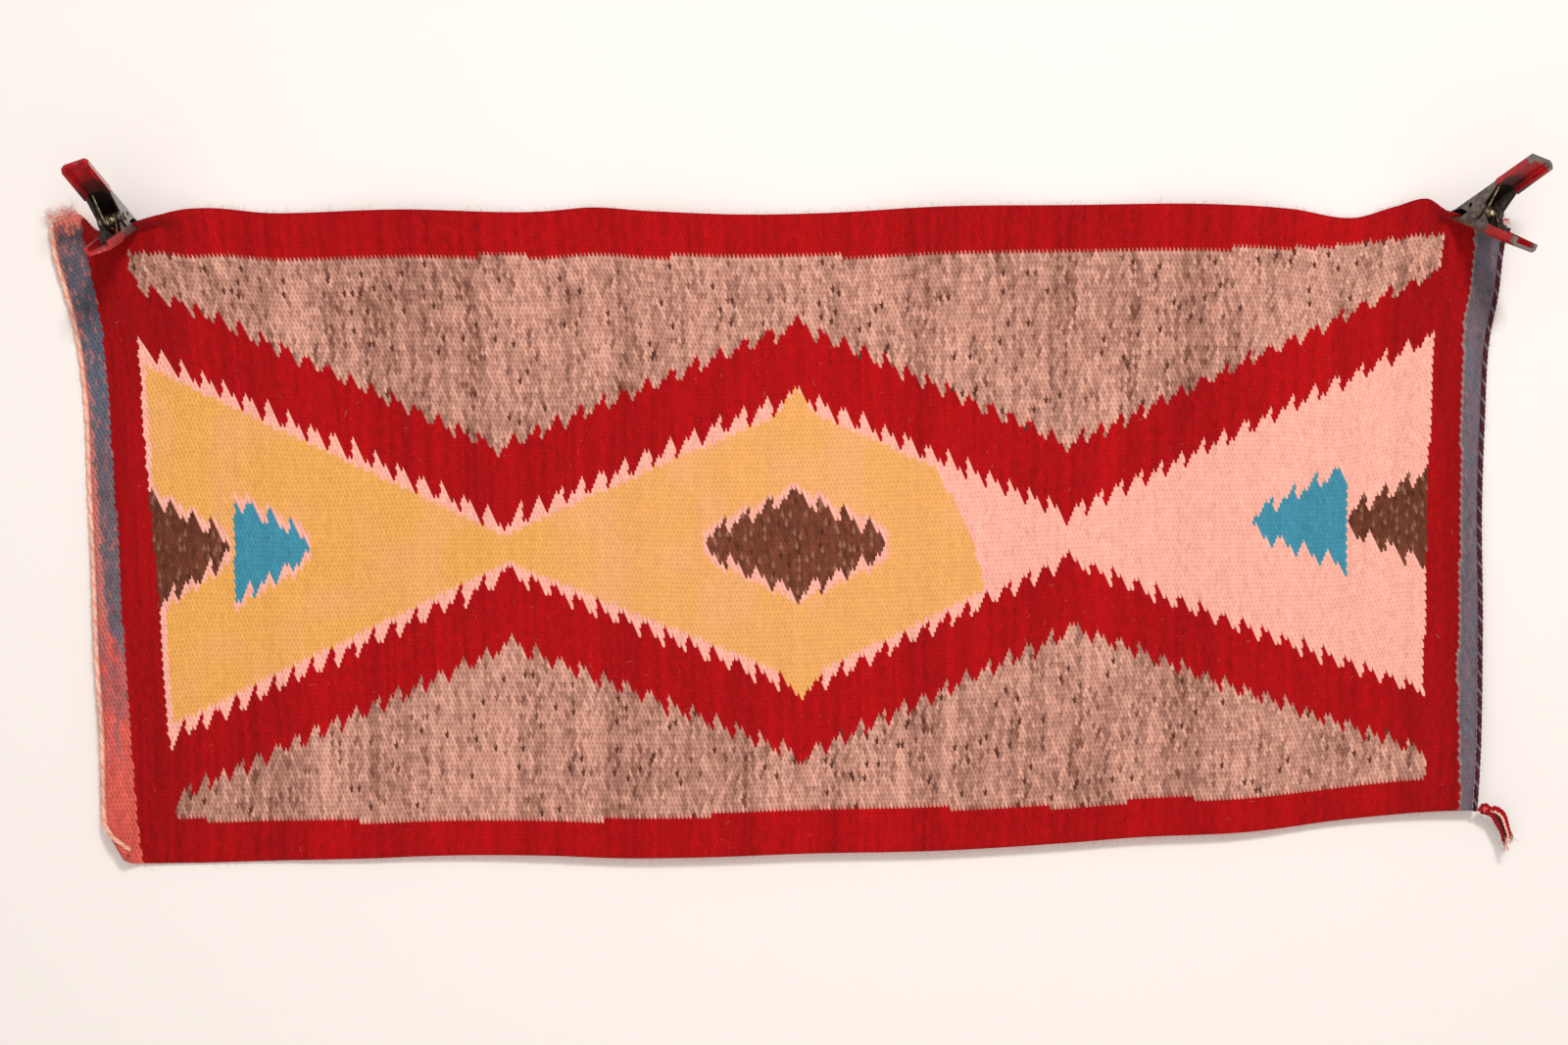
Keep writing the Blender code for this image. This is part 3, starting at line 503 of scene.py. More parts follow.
def yarn_fields(x, z):
    """Sorts stitches into yarns by where they lie in the front view, in millimetres.

    Returns a dictionary of masks; together they cover the whole cloth.
    """
    def line(table, key, where):
        other = "x" if key == "z" else "z"
        return np.interp(where, table[key], table[other])

    left_band = x < line(LEFT_BAND, "z", z)
    right_band = x > line(RIGHT_BAND, "z", z)
    left_side, right_side = line(LEFT_FIELD, "z", z), line(RIGHT_FIELD, "z", z)
    field = (x > left_side) & (x < right_side)
    field &= (z < line(TOP_FIELD, "x", x)) & (z > line(BOTTOM_FIELD, "x", x))
    edges = []
    for edge in (TOP_ZIGZAG_UPPER, TOP_ZIGZAG_LOWER, BOTTOM_ZIGZAG_UPPER, BOTTOM_ZIGZAG_LOWER):
        edges.append(edge_height(edge, x))
    grey = field & ((z > edges[0]) | (z < edges[3]))
    inner = field & (z < edges[1]) & (z > edges[2])
    roof = edge_height(TOP_ZIGZAG_LOWER, x, "lower") - FIELD_OUTLINE
    ground = edge_height(BOTTOM_ZIGZAG_UPPER, x, "upper") + FIELD_OUTLINE
    near_apex = np.abs(x - TOP_ZIGZAG_LOWER["x"][2]) < CORNER_REACH
    roof = np.where(near_apex, edges[1] - APEX_RIM, roof)
    near_foot = np.abs(x - BOTTOM_ZIGZAG_UPPER["x"][2]) < CORNER_REACH
    ground = np.where(near_foot, edges[2], ground)
    yellow = inner & (z < roof) & (z > ground) & (x > left_side + SIDE_OUTLINE)
    yellow &= x < line(YARN_CHANGE, "z", z)
    masks = {"grey": grey, "yellow": yellow, "pink": inner & ~yellow,
             "left_band": left_band, "right_band": right_band}
    for motif in MOTIFS:
        own, outline = motif_masks(motif, x, z)
        own, outline = own & inner, outline & inner
        for name in ("yellow", "pink", "brown", "turquoise"):
            if name in masks:
                masks[name] = masks[name] & ~own
        masks["pink"] = masks["pink"] | (outline & masks["yellow"])
        masks["yellow"] = masks["yellow"] & ~outline
        masks[motif["yarn"]] = masks.get(motif["yarn"], np.zeros_like(own)) | own
    masks["red"] = ~np.logical_or.reduce(list(masks.values()))
    return masks


def cloth_noise(x, z, pick, seed):
    """Returns the noises that the wools share: chance from 0 to 1, the others around 0."""
    rng = np.random.default_rng(seed)
    noise = {"chance": rng.random(x.shape), "tone": rng.normal(0.0, 1.0, x.shape)}
    for name, (measure, length, height, added) in CLOTH_NOISE.items():
        along = pick * 1.0 if measure == "picks" else x
        noise[name] = soft_noise(along, z, length, height, seed + added) - 0.5
    return noise


def above(value, values):
    """Runs from 0 to 1 where a value passes the level in a table of values."""
    return smooth_step((value - values["above"]) / values["rise"])


def past(place, values, key="from_x"):
    """Runs from 0 to 1 where a place passes the line in a table of values."""
    return smooth_step((place - values[key]) / values["fade"])


def blend(under, over, share):
    """Mixes a share of one colour into another, stitch by stitch."""
    return under + (over - under) * share[..., None]


def dyed(name, noise):
    """Gives a wool's colour at every stitch, as unevenly as it is dyed."""
    spread, streaks, wides = DYE_SPREAD[name]
    shade = 1.0 + spread * noise["tone"] + streaks * noise["streak"] + wides * noise["wide"]
    return wool(name) * np.clip(shade, *SHADE_LIMITS)[..., None]


def red_wool(x, noise):
    """Red of the borders and zigzags, darker towards the two ends."""
    ends = past(np.abs(x), RED_ENDS)
    return dyed("red", noise) * (1.0 - RED_ENDS["darker"] * ends)[..., None]


def yellow_wool(x, noise):
    """Yellow of the fields, with a pink blush in patches and from the middle field on."""
    blush = BLUSH["patches"] * above(noise["patch"], BLUSH)
    blush += BLUSH["middle"] * past(x, BLUSH)
    return blend(dyed("yellow", noise), wool("pink"), blush)


def brown_wool(x, noise):
    """Brown of the motifs, with light fibres, and darker at the two sides."""
    flecked = BROWN_FLECKS["share"] * (noise["chance"] > BROWN_FLECKS["above"])
    brown = blend(dyed("brown", noise), wool("brown_fleck"), flecked)
    at_side = np.abs(x) > BROWN_FLECKS["side_x"]
    return brown * (1.0 - BROWN_FLECKS["side_darker"] * at_side)[..., None]


def grey_wool(noise):
    """Carded grey of the outer fields: light and dark wool in streaks, with dark flecks."""
    share = GREY_LIGHT_SHARE
    for name, weight in GREY_MIX.items():
        share = share + weight * noise[name]
    grey = blend(wool("grey_dark"), wool("grey_light"), np.clip(share, 0.0, 1.0))
    flecked = noise["chance"] < (GREY_FLECKS["share"] - GREY_FLECKS["short"] * noise["short"]
                                 - GREY_FLECKS["patch"] * noise["patch"])
    return np.where(flecked[..., None], wool("fleck"), grey)


def stripe_wool(noise):
    """Grey of the end stripes, with blue wool carded in."""
    cool = STRIPE_BLUE["share"] * above(noise["short"], STRIPE_BLUE)
    return blend(dyed("band_grey", noise), wool("band_blue") * STRIPE_BLUE["shade"], cool)


def right_stripe(x, z, stripe):
    """The right stripe: its first stitches beside the red are dotted with coral."""
    inside = x - np.interp(z, RIGHT_BAND["z"], RIGHT_BAND["x"])
    dots = STRIPE_DOTS["share"] * ((inside > 0.0) & (inside < STRIPE_DOTS["width"]))
    return blend(stripe, wool("pale_coral") * STRIPE_DOTS["shade"], dots)


def coral_share(x, z, noise, upper_part):
    """Tells how much of each stitch of the left stripe is coral wool.

    The coral lies outside a line that waves with the scallops and comes nearer to the edge
    from the bottom up. It is mixed in a part below the middle, is flecked into the grey, and
    covers the very top.
    """
    short, tone = noise["short"], noise["tone"]
    side = np.interp(z, LEFT_EDGE["z"], LEFT_EDGE["x"])
    inner_side = np.interp(z, LEFT_BAND["z"], LEFT_BAND["x"])
    across = np.clip((x - side) / (inner_side - side), 0.0, 1.0)
    reach = np.interp(z, CORAL_REACH["z"], CORAL_REACH["share"])
    scallop = CORAL_LINE["scallop"] * np.sin(2 * math.pi * z / SCALLOP)
    line = reach - across + scallop + CORAL_LINE["streak"] * noise["streak"]
    line = line + CORAL_LINE["short"] * short + CORAL_LINE["tone"] * tone
    full = CORAL_SHARE["full"] - CORAL_SHARE["less_above"] * upper_part
    coral = full * smooth_step(line / CORAL_LINE["softness"] + 0.5)
    flecks = CORAL_FLECKS
    strands = smooth_step((short - flecks["short_above"]) / flecks["short_rise"])
    coral = np.maximum(coral, flecks["short_share"] * strands)
    stitches = noise["chance"] > flecks["stitch_above"]
    coral = np.maximum(coral, flecks["stitch_share"] * stitches)
    bottom, top = MIXED_PART["z"]
    mixed = above(noise["patch"] + short * MIXED_PART["short"], MIXED_PART)
    coral *= 1.0 - MIXED_PART["less"] * mixed * (z < top) * (z > bottom)
    ragged = z + TOP_CORAL["ragged"] * tone
    return np.maximum(coral, TOP_CORAL["share"] * past(ragged, TOP_CORAL, "from_z"))


def left_stripe(x, z, stripe, noise):
    """The left stripe: bluish and darker in its upper part, with coral along its outer side."""
    upper_part = past(z, UPPER_PART, "from_z")
    blue = smooth_step(1.0 - np.abs(z - BLUE_PART["z"]) / BLUE_PART["half_height"])
    blue = blue * above(noise["patch"], BLUE_PART)
    stripe = blend(stripe, wool("band_blue"), BLUE_PART["share"] * blue)
    stripe = stripe * (1.0 - DARK_TOP["share"] * past(z, DARK_TOP, "from_z"))[..., None]
    faded = CORAL_SHARE["faded_above"] * upper_part
    coral = blend(dyed("coral", noise), wool("faded_coral"), faded)
    return blend(stripe, coral, coral_share(x, z, noise, upper_part))


def stitch_colours(flat, pick, seed=3):
    """Gives each stitch its linear colour: its yarn's, with streaks along the picks and flecks.

    flat holds front-view places in metres and pick numbers each stitch's weft. A fourth value
    scales the painted shade in the gaps between the stitches, as a multiple of the weave's own.
    """
    x, z = flat[..., 0] * 1000, flat[..., 1] * 1000
    noise = cloth_noise(x, z, pick, seed)
    stripe = stripe_wool(noise)
    sheets = {
        "red": red_wool(x, noise),
        "pink": dyed("pink", noise),
        "turquoise": dyed("turquoise", noise),
        "yellow": yellow_wool(x, noise),
        "brown": brown_wool(x, noise),
        "grey": grey_wool(noise),
        "right_band": right_stripe(x, z, stripe),
        "left_band": left_stripe(x, z, stripe, noise),
    }
    masks = yarn_fields(x, z)
    colour = np.ones(x.shape + (4,))
    for name, sheet in sheets.items():
        colour[masks[name], :3] = sheet[masks[name]]
    # The fourth value scales the painted shade in the gaps between stitches, deeper for the grey
    # and the left stripe
    colour[masks["grey"], 3] = GREY_PAINTED_GAP_SHADE
    colour[masks["left_band"], 3] = LEFT_STRIPE_PAINTED_GAP_SHADE
    return colour


def fill_mesh(name, points, triangles, material, uv=None, corner_colours=None):
    """Makes an object at the origin from whole arrays of points and triangles."""
    mesh = bpy.data.meshes.new(name)
    mesh.vertices.add(len(points))
    mesh.vertices.foreach_set("co", np.asarray(points, np.float32).ravel())
    mesh.loops.add(triangles.size)
    mesh.loops.foreach_set("vertex_index", np.asarray(triangles, np.int32).ravel())
    mesh.polygons.add(len(triangles))
    mesh.polygons.foreach_set("loop_start", np.arange(0, triangles.size, triangles.shape[1]))
    mesh.update(calc_edges=True)
    mesh.shade_smooth()
    if uv is not None:
        layer = mesh.uv_layers.new(name="weave")
        layer.data.foreach_set("uv", np.asarray(uv, np.float32).ravel())
    if corner_colours is not None:
        layer = mesh.color_attributes.new("yarn_colour", "FLOAT_COLOR", "CORNER")
        rgba = np.ones((len(corner_colours), 4), np.float32)
        rgba[:, :corner_colours.shape[1]] = corner_colours
        layer.data.foreach_set("color", rgba.ravel())
    mesh.materials.append(material)
    item = bpy.data.objects.new(name, mesh)
    bpy.context.scene.collection.objects.link(item)
    return item


def lattice_triangles(columns, rows):
    """Splits a grid's cells along the down-right diagonal; returns corners and owning grains.

    Points whose column and row add up to an even number are grains on the front, the others
    are grains on the back. A cell whose diagonal joins two grains belongs to the upper one.
    """
    m, k = np.meshgrid(np.arange(columns - 1), np.arange(rows - 1))
    here, right = k * columns + m, k * columns + m + 1
    above, opposite = here + columns, right + columns
    lower_left = np.stack([here, right, above], axis=-1)
    upper_right = np.stack([right, opposite, above], axis=-1)
    triangles = np.stack([lower_left, upper_right], axis=-2).reshape(-1, 3)
    even = (m + k) % 2 == 0
    front = np.stack([np.where(even, here, above), np.where(even, opposite, above)], axis=-1)
    back = np.stack([np.where(even, above, here), np.where(even, above, opposite)], axis=-1)
    return triangles, front.ravel(), back.ravel()


def surface_normals(points):
    """Returns unit normals of a grid of points, facing the front."""
    return unit(np.cross(np.gradient(points, axis=1), np.gradient(points, axis=0)))


def put(tree, kind, feeds=None, **settings):
    """Adds a node, sets it up, and feeds its inputs with values or other nodes' outputs."""
    item = tree.nodes.new(kind)
    for key, value in settings.items():
        setattr(item, key, value)
    for key, value in (feeds or {}).items():
        if isinstance(value, bpy.types.NodeSocket):
            tree.links.new(value, item.inputs[key])
        else:
            item.inputs[key].default_value = value
    return item


def sums(tree, operation, *values):
    """Adds a Math node and returns its output."""
    return put(tree, "ShaderNodeMath", dict(enumerate(values)), operation=operation).outputs[0]


def new_group(name, inputs, outputs):
    """Starts a shader node group with named sockets; returns it and its two end nodes."""
    group = bpy.data.node_groups.new(name, "ShaderNodeTree")
    for socket, kind, value in inputs:
        made = group.interface.new_socket(socket, in_out="INPUT", socket_type=kind)
        if value is not None:
            made.default_value = value
    for socket, kind in outputs:
        group.interface.new_socket(socket, in_out="OUTPUT", socket_type=kind)
    return group, group.nodes.new("NodeGroupInput"), group.nodes.new("NodeGroupOutput")


def weave_group():
    """Height and gaps of packed wefts.

    In counts of wefts and warps, the cosine of the sum of the two counts gives ridges that
    lean to the right as they fall, and the cosine of their difference parts each ridge into
    grains. Gap is 1 where the yarns meet.
    """
    group, enter, leave = new_group(
        "packed_wefts",
        (("Counts", "NodeSocketVector", None), ("Grain", "NodeSocketFloat", 0.35)),
        (("Height", "NodeSocketFloat"), ("Gap", "NodeSocketFloat")))
    parts = put(group, "ShaderNodeSeparateXYZ", {0: enter.outputs["Counts"]})
    total = sums(group, "ADD", parts.outputs[0], parts.outputs[1])
    difference = sums(group, "SUBTRACT", parts.outputs[0], parts.outputs[1])
    ridge = sums(group, "COSINE", sums(group, "MULTIPLY", total, math.pi))
    bead = sums(group, "COSINE", sums(group, "MULTIPLY", difference, math.pi))
    mixed = put(group, "ShaderNodeMix", {0: enter.outputs["Grain"], 2: ridge, 3: bead})
    height = sums(group, "MULTIPLY_ADD", mixed.outputs[0], 0.5, 0.5)
    gap = put(group, "ShaderNodeMapRange", {0: height, 1: 0.42, 2: 0.0, 3: 0.0, 4: 1.0},
              interpolation_type="SMOOTHSTEP")
    group.links.new(height, leave.inputs["Height"])
    group.links.new(gap.outputs[0], leave.inputs["Gap"])
    return group


def fibre_group():
    """Fine wool fibres: noise stretched along the yarn, as a tone around 1 and a height."""
    group, enter, leave = new_group(
        "wool_fibres",
        (("Place", "NodeSocketVector", None), ("Fibre Scale", "NodeSocketFloat", 900.0),
         ("Strength", "NodeSocketFloat", 0.12)),
        (("Tone", "NodeSocketFloat"), ("Height", "NodeSocketFloat")))
    turned = put(group, "ShaderNodeMapping",
                 {"Vector": enter.outputs["Place"], "Rotation": (0.0, math.radians(20), 0.0),
                  "Scale": (1.0, 1.0, 0.28)})
    fine = put(group, "ShaderNodeTexNoise",
               {"Vector": turned.outputs[0], "Scale": enter.outputs["Fibre Scale"],
                "Detail": 3.0, "Roughness": 0.6})
    centred = sums(group, "SUBTRACT", fine.outputs["Fac"], 0.5)
    swing = sums(group, "MULTIPLY", centred, enter.outputs["Strength"])
    tone = sums(group, "MULTIPLY_ADD", swing, 4.0, 1.0)
    group.links.new(tone, leave.inputs["Tone"])
    group.links.new(fine.outputs["Fac"], leave.inputs["Height"])
    return group


def new_material(name, **values):
    """Returns a material, its node tree and its Principled shader, set to the given values."""
    material = bpy.data.materials.new(name)
    material.use_nodes = True
    tree = material.node_tree
    shader = tree.nodes["Principled BSDF"]
    for key, value in values.items():
        shader.inputs[key.replace("_", " ").title().replace("Ior", "IOR")].default_value = value
    return material, tree, shader


def scaled_colour(tree, colour, tone):
    """Multiplies a colour by a tone."""
    return put(tree, "ShaderNodeVectorMath", {0: colour, 1: tone}, operation="MULTIPLY").outputs[0]


def wool_material(name, weave=None, fibre=None, grain=0.35, relief=0.0006, painted_gap_shade=0.19):
    """Wool yarn in the colours of the yarn_colour attribute, with weave and fibre relief.

    The attribute's alpha scales the painted shade that darkens the gaps between the stitches.
    """
    material, tree, shader = new_material(
        name, roughness=0.92, specular_ior_level=0.12, sheen_weight=0.05, sheen_roughness=0.45)
    yarn = put(tree, "ShaderNodeAttribute", attribute_name="yarn_colour")
    colour = yarn.outputs["Color"]
    place = put(tree, "ShaderNodeTexCoord").outputs["Object"]
    fibres = put(tree, "ShaderNodeGroup", node_tree=fibre)
    tree.links.new(place, fibres.inputs["Place"])
    toned = scaled_colour(tree, colour, fibres.outputs["Tone"])
    fine = put(tree, "ShaderNodeBump", {"Height": fibres.outputs["Height"], "Distance": 0.00025,
                                        "Strength": 0.6})
    normal = fine.outputs[0]
    if weave is not None:
        counts = put(tree, "ShaderNodeUVMap", uv_map="weave").outputs[0]
        packed = put(tree, "ShaderNodeGroup", node_tree=weave)
        packed.inputs["Grain"].default_value = grain
        tree.links.new(counts, packed.inputs["Counts"])
        # Painted shade: the gaps of the weave darken the yarn colour, scaled by the attribute's
        # alpha
        depth = sums(tree, "MULTIPLY", yarn.outputs["Alpha"], -painted_gap_shade)
        shade = sums(tree, "MULTIPLY_ADD", packed.outputs["Gap"], depth, 1.0)
        toned = scaled_colour(tree, toned, shade)
        rib = put(tree, "ShaderNodeBump", {"Height": packed.outputs["Height"],
                                           "Distance": relief, "Normal": normal})
        normal = rib.outputs[0]
    tree.links.new(toned, shader.inputs["Base Color"])
    tree.links.new(normal, shader.inputs["Normal"])
    return material


class RugColours(bpy.types.PropertyGroup):
    """Yarn and finish colours, as they look on a display."""
    def dye(name, description, value):
        return FloatVectorProperty(name=name, description=description, default=value,
                                   subtype="COLOR_GAMMA", min=0.0, max=1.0)

    red: dye("Red", "Borders and zigzags", (0.652, 0.034, 0.053))
    grey_light: dye("Grey, light", "Light carded wool of the outer fields", (0.885, 0.65, 0.57))
    grey_dark: dye("Grey, dark", "Dark carded wool of the outer fields", (0.47, 0.29, 0.24))
    fleck: dye("Fleck", "Dark flecks in the grey wool", (0.36, 0.20, 0.16))
    yellow: dye("Yellow", "Left and middle fields", (0.90, 0.645, 0.335))
    pink: dye("Pink", "Right field and outlines", (0.955, 0.675, 0.605))
    turquoise: dye("Turquoise", "Arrow motifs", (0.25, 0.54, 0.63))
    brown: dye("Brown", "Diamond and side motifs", (0.437, 0.235, 0.165))
    brown_fleck: dye("Brown fleck", "Light fibres in the brown wool", (0.60, 0.42, 0.34))
    coral: dye("Coral", "Left stripe and its cord", (0.85, 0.357, 0.305))
    pale_coral: dye("Pale coral", "Faded yarn of the left cord", (0.955, 0.73, 0.64))
    faded_coral: dye("Faded coral", "Deeper yarn of the left cord", (0.93, 0.60, 0.51))
    band_grey: dye("Band grey", "End stripes", (0.44, 0.375, 0.405))
    band_blue: dye("Band blue", "Blue wool in the left stripe", (0.30, 0.44, 0.52))
    maroon: dye("Maroon", "Right cord", (0.29, 0.11, 0.15))
    knot_red: dye("Knot red", "Dark red yarn of the tassel", (0.60, 0.07, 0.12))
    knot_brown: dye("Knot brown", "Brown yarn of the tassel", (0.36, 0.13, 0.13))


class RugSizes(bpy.types.PropertyGroup):
    """Sizes of the weave and the yarns."""
    wefts: IntProperty(name="Weft pairs", description="Stitches in one row along the rug",
                       default=350, min=20, max=353)
    warps: IntProperty(name="Warps", description="Rows of stitches across the rug",
                       default=140, min=10, max=140)
    relief: FloatProperty(name="Weave relief", description="Height of a stitch over its gaps",
                          default=0.00038, unit="LENGTH", min=0.0, max=0.001)
    cord_twist: FloatProperty(name="Cord twist", description="Length of one swelling of a cord",
                              default=0.0079, unit="LENGTH", min=0.004, max=0.02)


def shared_groups():
    """Returns the node groups that several materials use, made once."""
    groups = bpy.data.node_groups
    return {
        "weave": groups.get("packed_wefts") or weave_group(),
        "fibre": groups.get("wool_fibres") or fibre_group(),
    }


class RUG_OT_cloth(bpy.types.Operator):
    """Weave the cloth: a front and a back face that meet at the rim"""
    bl_idname = "rug.cloth"
    bl_label = "Woven cloth"

    def execute(self, context):
        sizes = context.scene.rug_sizes
        columns, rows = 2 * sizes.wefts + 3, sizes.warps + 2
        length = FLAT_SIZE[0]
        inner = np.linspace(EDGE_INSET / length, 1 - EDGE_INSET / length, columns - 2)
        u = np.concatenate([[0.0], inner, [1.0]])
        share = np.concatenate([[0.0], (np.arange(sizes.warps) + 0.5) / sizes.warps, [1.0]])
        middle, flat = cloth_surface(*np.meshgrid(u, share))
        normal = surface_normals(middle)
        m, k = np.meshgrid(np.arange(columns), np.arange(rows))
        rim = (m == 0) | (m == columns - 1) | (k == 0) | (k == rows - 1)
        triangles, front_owner, back_owner = lattice_triangles(columns, rows)
        colours = stitch_colours(flat, m).reshape(-1, 4)
        counts = np.stack([m, k], axis=-1).reshape(-1, 2)
        groups = shared_groups()
        material = wool_material("rug_wool_woven", groups["weave"], groups["fibre"])
        half = RUG_THICKNESS / 2
        for name, side, parity, owner in (("rug_front_face", 1, 0, front_owner),
                                          ("rug_back_face", -1, 1, back_owner)):
            raised = np.where((m + k) % 2 == parity, 0.0, sizes.relief)
            offset = np.where(rim, 0.0, half - raised) * side
            points = (middle + normal * offset[..., None]).reshape(-1, 3)
            faces = triangles if side == 1 else triangles[:, ::-1]
            corner_colours = np.repeat(colours[owner], 3, axis=0)
            item = fill_mesh(name, points, faces, material, counts[faces.ravel()],
                             corner_colours)
            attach(item, BODY)
            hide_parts("rug")
        return {"FINISHED"}


TUBE_CAP = 0.6


def tube_mesh(name, paths, radii, sides, material, colours):
    """Makes closed tubes along paths as whole arrays, one mesh for all.

    paths is tubes by points by 3. Each ring stands square to its path, on a side direction
    that is the path's direction crossed with Y. Every end is closed by a point, which stands
    off by a share of the radius.
    """
    paths = np.asarray(paths, float)
    tubes, steps = paths.shape[:2]
    radii = np.broadcast_to(np.asarray(radii, float), (tubes, steps))
    tangent = unit(np.gradient(paths, axis=1))
    aside = unit(np.cross(tangent, (0.0, 1.0, 0.0)))
    across = np.cross(aside, tangent)
    angle = np.linspace(0, 2 * math.pi, sides, endpoint=False)
    rings = (aside[:, :, None] * np.cos(angle)[:, None]
             + across[:, :, None] * np.sin(angle)[:, None])
    rings = paths[:, :, None] + rings * radii[:, :, None, None]
    caps = tangent * radii[..., None] * TUBE_CAP
    ends = np.stack([paths[:, 0] - caps[:, 0], paths[:, -1] + caps[:, -1]], axis=1)
    points = np.concatenate([rings.reshape(tubes, -1, 3), ends], axis=1)
    per_tube = points.shape[1]
    i, j = np.meshgrid(np.arange(steps - 1), np.arange(sides), indexing="ij")
    a, b = i * sides + j, i * sides + (j + 1) % sides
    quads = np.stack([a, a + sides, b + sides, b], axis=-1).reshape(-1, 4)
    walls = quads[:, (0, 1, 2, 0, 2, 3)].reshape(-1, 3)
    ring = np.arange(sides)
    start = np.stack([ring, (ring + 1) % sides, np.full(sides, steps * sides)], axis=-1)
    last = (steps - 1) * sides
    finish = np.stack([last + (ring + 1) % sides, last + ring,
                       np.full(sides, steps * sides + 1)], axis=-1)
    one = np.concatenate([walls, start, finish])
    faces = (one[None] + (np.arange(tubes) * per_tube)[:, None, None]).reshape(-1, 3)
    ring_colours = np.repeat(np.broadcast_to(colours, (tubes, steps, 3)), sides, axis=1)
    point_colours = np.concatenate([ring_colours, ring_colours[:, :1], ring_colours[:, -1:]],
                                   axis=1).reshape(-1, 3)
    return fill_mesh(name, points.reshape(-1, 3), faces, material,
                     corner_colours=point_colours[faces.ravel()])


def path_length(points):
    """Tells how far along a path each of its points is."""
    steps = np.linalg.norm(np.diff(points, axis=0), axis=1)
    return np.concatenate([[0.0], np.cumsum(steps)])


def evenly(points, spacing):
    """Returns points at even spacing along a path, and how far along each one is."""
    length = path_length(points)
    where = np.linspace(0.0, length[-1], int(round(length[-1] / spacing)) + 1)
    return np.stack([np.interp(where, length, points[:, k]) for k in range(3)], axis=1), where


def plied(path, where, plies, reach, turn, phase=0.0):
    """Winds plies round a path: circles of the given reach, one turn in each given length."""
    tangent = unit(np.gradient(path, axis=0))
    aside = unit(np.cross(tangent, (0.0, 1.0, 0.0)))
    across = np.cross(aside, tangent)
    number = np.arange(plies)[:, None]
    angle = 2 * math.pi * (where / turn + number / plies) + phase
    reach = np.broadcast_to(reach, where.shape)
    return (path + aside * (np.cos(angle) * reach)[..., None]
            + across * (np.sin(angle) * reach)[..., None])


# End cords: how far the core stands off the rim, how far a cord swings out between scallops,
# and its strands as shares of its radius
CORDS = {
    "left": {"radius": 0.0021, "seat": 0.00220, "slot": "coral_yarn",
             "swing": 0.0007, "colours": ("pale_coral", "faded_coral", "pale_coral")},
    "right": {"radius": 0.0023, "seat": 0.00243, "slot": "maroon_yarn",
              "swing": 0.0, "colours": ("maroon", "band_grey", "maroon")},
}
PLY_RADIUS = 0.56
PLY_REACH = 0.44
CORE_RADIUS = 0.84
CORD_SHORT_OF_TOP = 0.0035
CORD_CLOTH_HEIGHT = 0.55
CORD_POINTS = 600
# The core, sunk between the plies, is darker than its first ply: painted shade
CORD_CORE_PAINTED_SHADE = 0.8


def cord_path(side):
    """Follows the edge of the cloth at the cord's seat, from the bottom to short of the top.

    A cord with a swing also waves away from the edge and back, once in each scallop.
    """
    edge_u, inner_u = (0.0, 0.004) if side == "left" else (1.0, 0.996)
    share = np.linspace(0.0, 1.0 - CORD_SHORT_OF_TOP / CORD_CLOTH_HEIGHT, CORD_POINTS)
    edge, _ = cloth_surface(np.full(CORD_POINTS, edge_u), share)
    inner, _ = cloth_surface(np.full(CORD_POINTS, inner_u), share)
    outward = unit(edge - inner)
    wave = 0.5 - 0.5 * np.cos(2 * math.pi * edge[:, 2] * 1000 / SCALLOP)
    return edge + outward * (CORDS[side]["seat"] + CORDS[side]["swing"] * wave)[:, None]


class RUG_OT_end_cords(bpy.types.Operator):
    """Twist a three-ply cord round a core along each end of the cloth"""
    bl_idname = "rug.end_cords"
    bl_label = "End cords"

    def execute(self, context):
        twist = context.scene.rug_sizes.cord_twist
        material = wool_material("cord_wool", fibre=shared_groups()["fibre"])
        for side, cord in CORDS.items():
            path, where = evenly(cord_path(side), twist / 8)
            plies = plied(path, where, 3, cord["radius"] * PLY_REACH, 2 * twist)
            tones = np.stack([wool(name) for name in cord["colours"]])
            shade = 0.85 + 0.3 * soft_noise(where, where, 0.02, 1.0, 11)
            # Painted shade: the core takes its first ply's colour, darkened
            tones = np.concatenate([tones, tones[:1] * CORD_CORE_PAINTED_SHADE])
            colours = tones[:, None] * shade[None, :, None]
            strands = np.concatenate([plies, path[None]])
            radii = np.array([PLY_RADIUS] * 3 + [CORE_RADIUS])[:, None] * cord["radius"]
            item = tube_mesh("end_cord_%s_plied" % side, strands, radii, 8, material, colours)
            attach(item, BODY)
            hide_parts("end_cord_" + side)
        return {"FINISHED"}


def curved(points, count):
    """Returns even points on a smooth curve through points given in millimetres."""
    points = np.asarray(points, float)
    length = path_length(points)
    where = np.linspace(0.0, length[-1] / 1000, count)
    return np.stack([through(length, points[:, k], where) for k in range(3)], axis=1), where


def yarn_end(points, radius, count=48, turn=0.0065):
    """Returns the two plies of a yarn end, which thins and opens towards its tip, and radii."""
    path, where = curved(points, count)
    open_up = 1.0 + 0.9 * smooth_step((where / where[-1] - 0.75) / 0.25)
    thin = radius * (1.0 - 0.35 * smooth_step(where / where[-1]))
    plies = plied(path, where, 2, thin * 0.5 * open_up, turn)
    return plies, np.stack([thin * 0.62] * 2)


HAIR_POINTS = 5


def hairs(starts, directions, lengths, bends):
    """Returns paths of fine hairs: straight at first, then bent aside by a square law.

    A hair that would reach the plane behind the cloth lies along it instead.
    """
    t = np.linspace(0.0, 1.0, HAIR_POINTS)[None, :, None]
    reach = np.asarray(lengths)[:, None, None]
    paths = starts[:, None] + reach * (directions[:, None] * t + bends[:, None] * t * t)
    paths[..., 1] = np.minimum(paths[..., 1], -2 * GAP)
    return paths


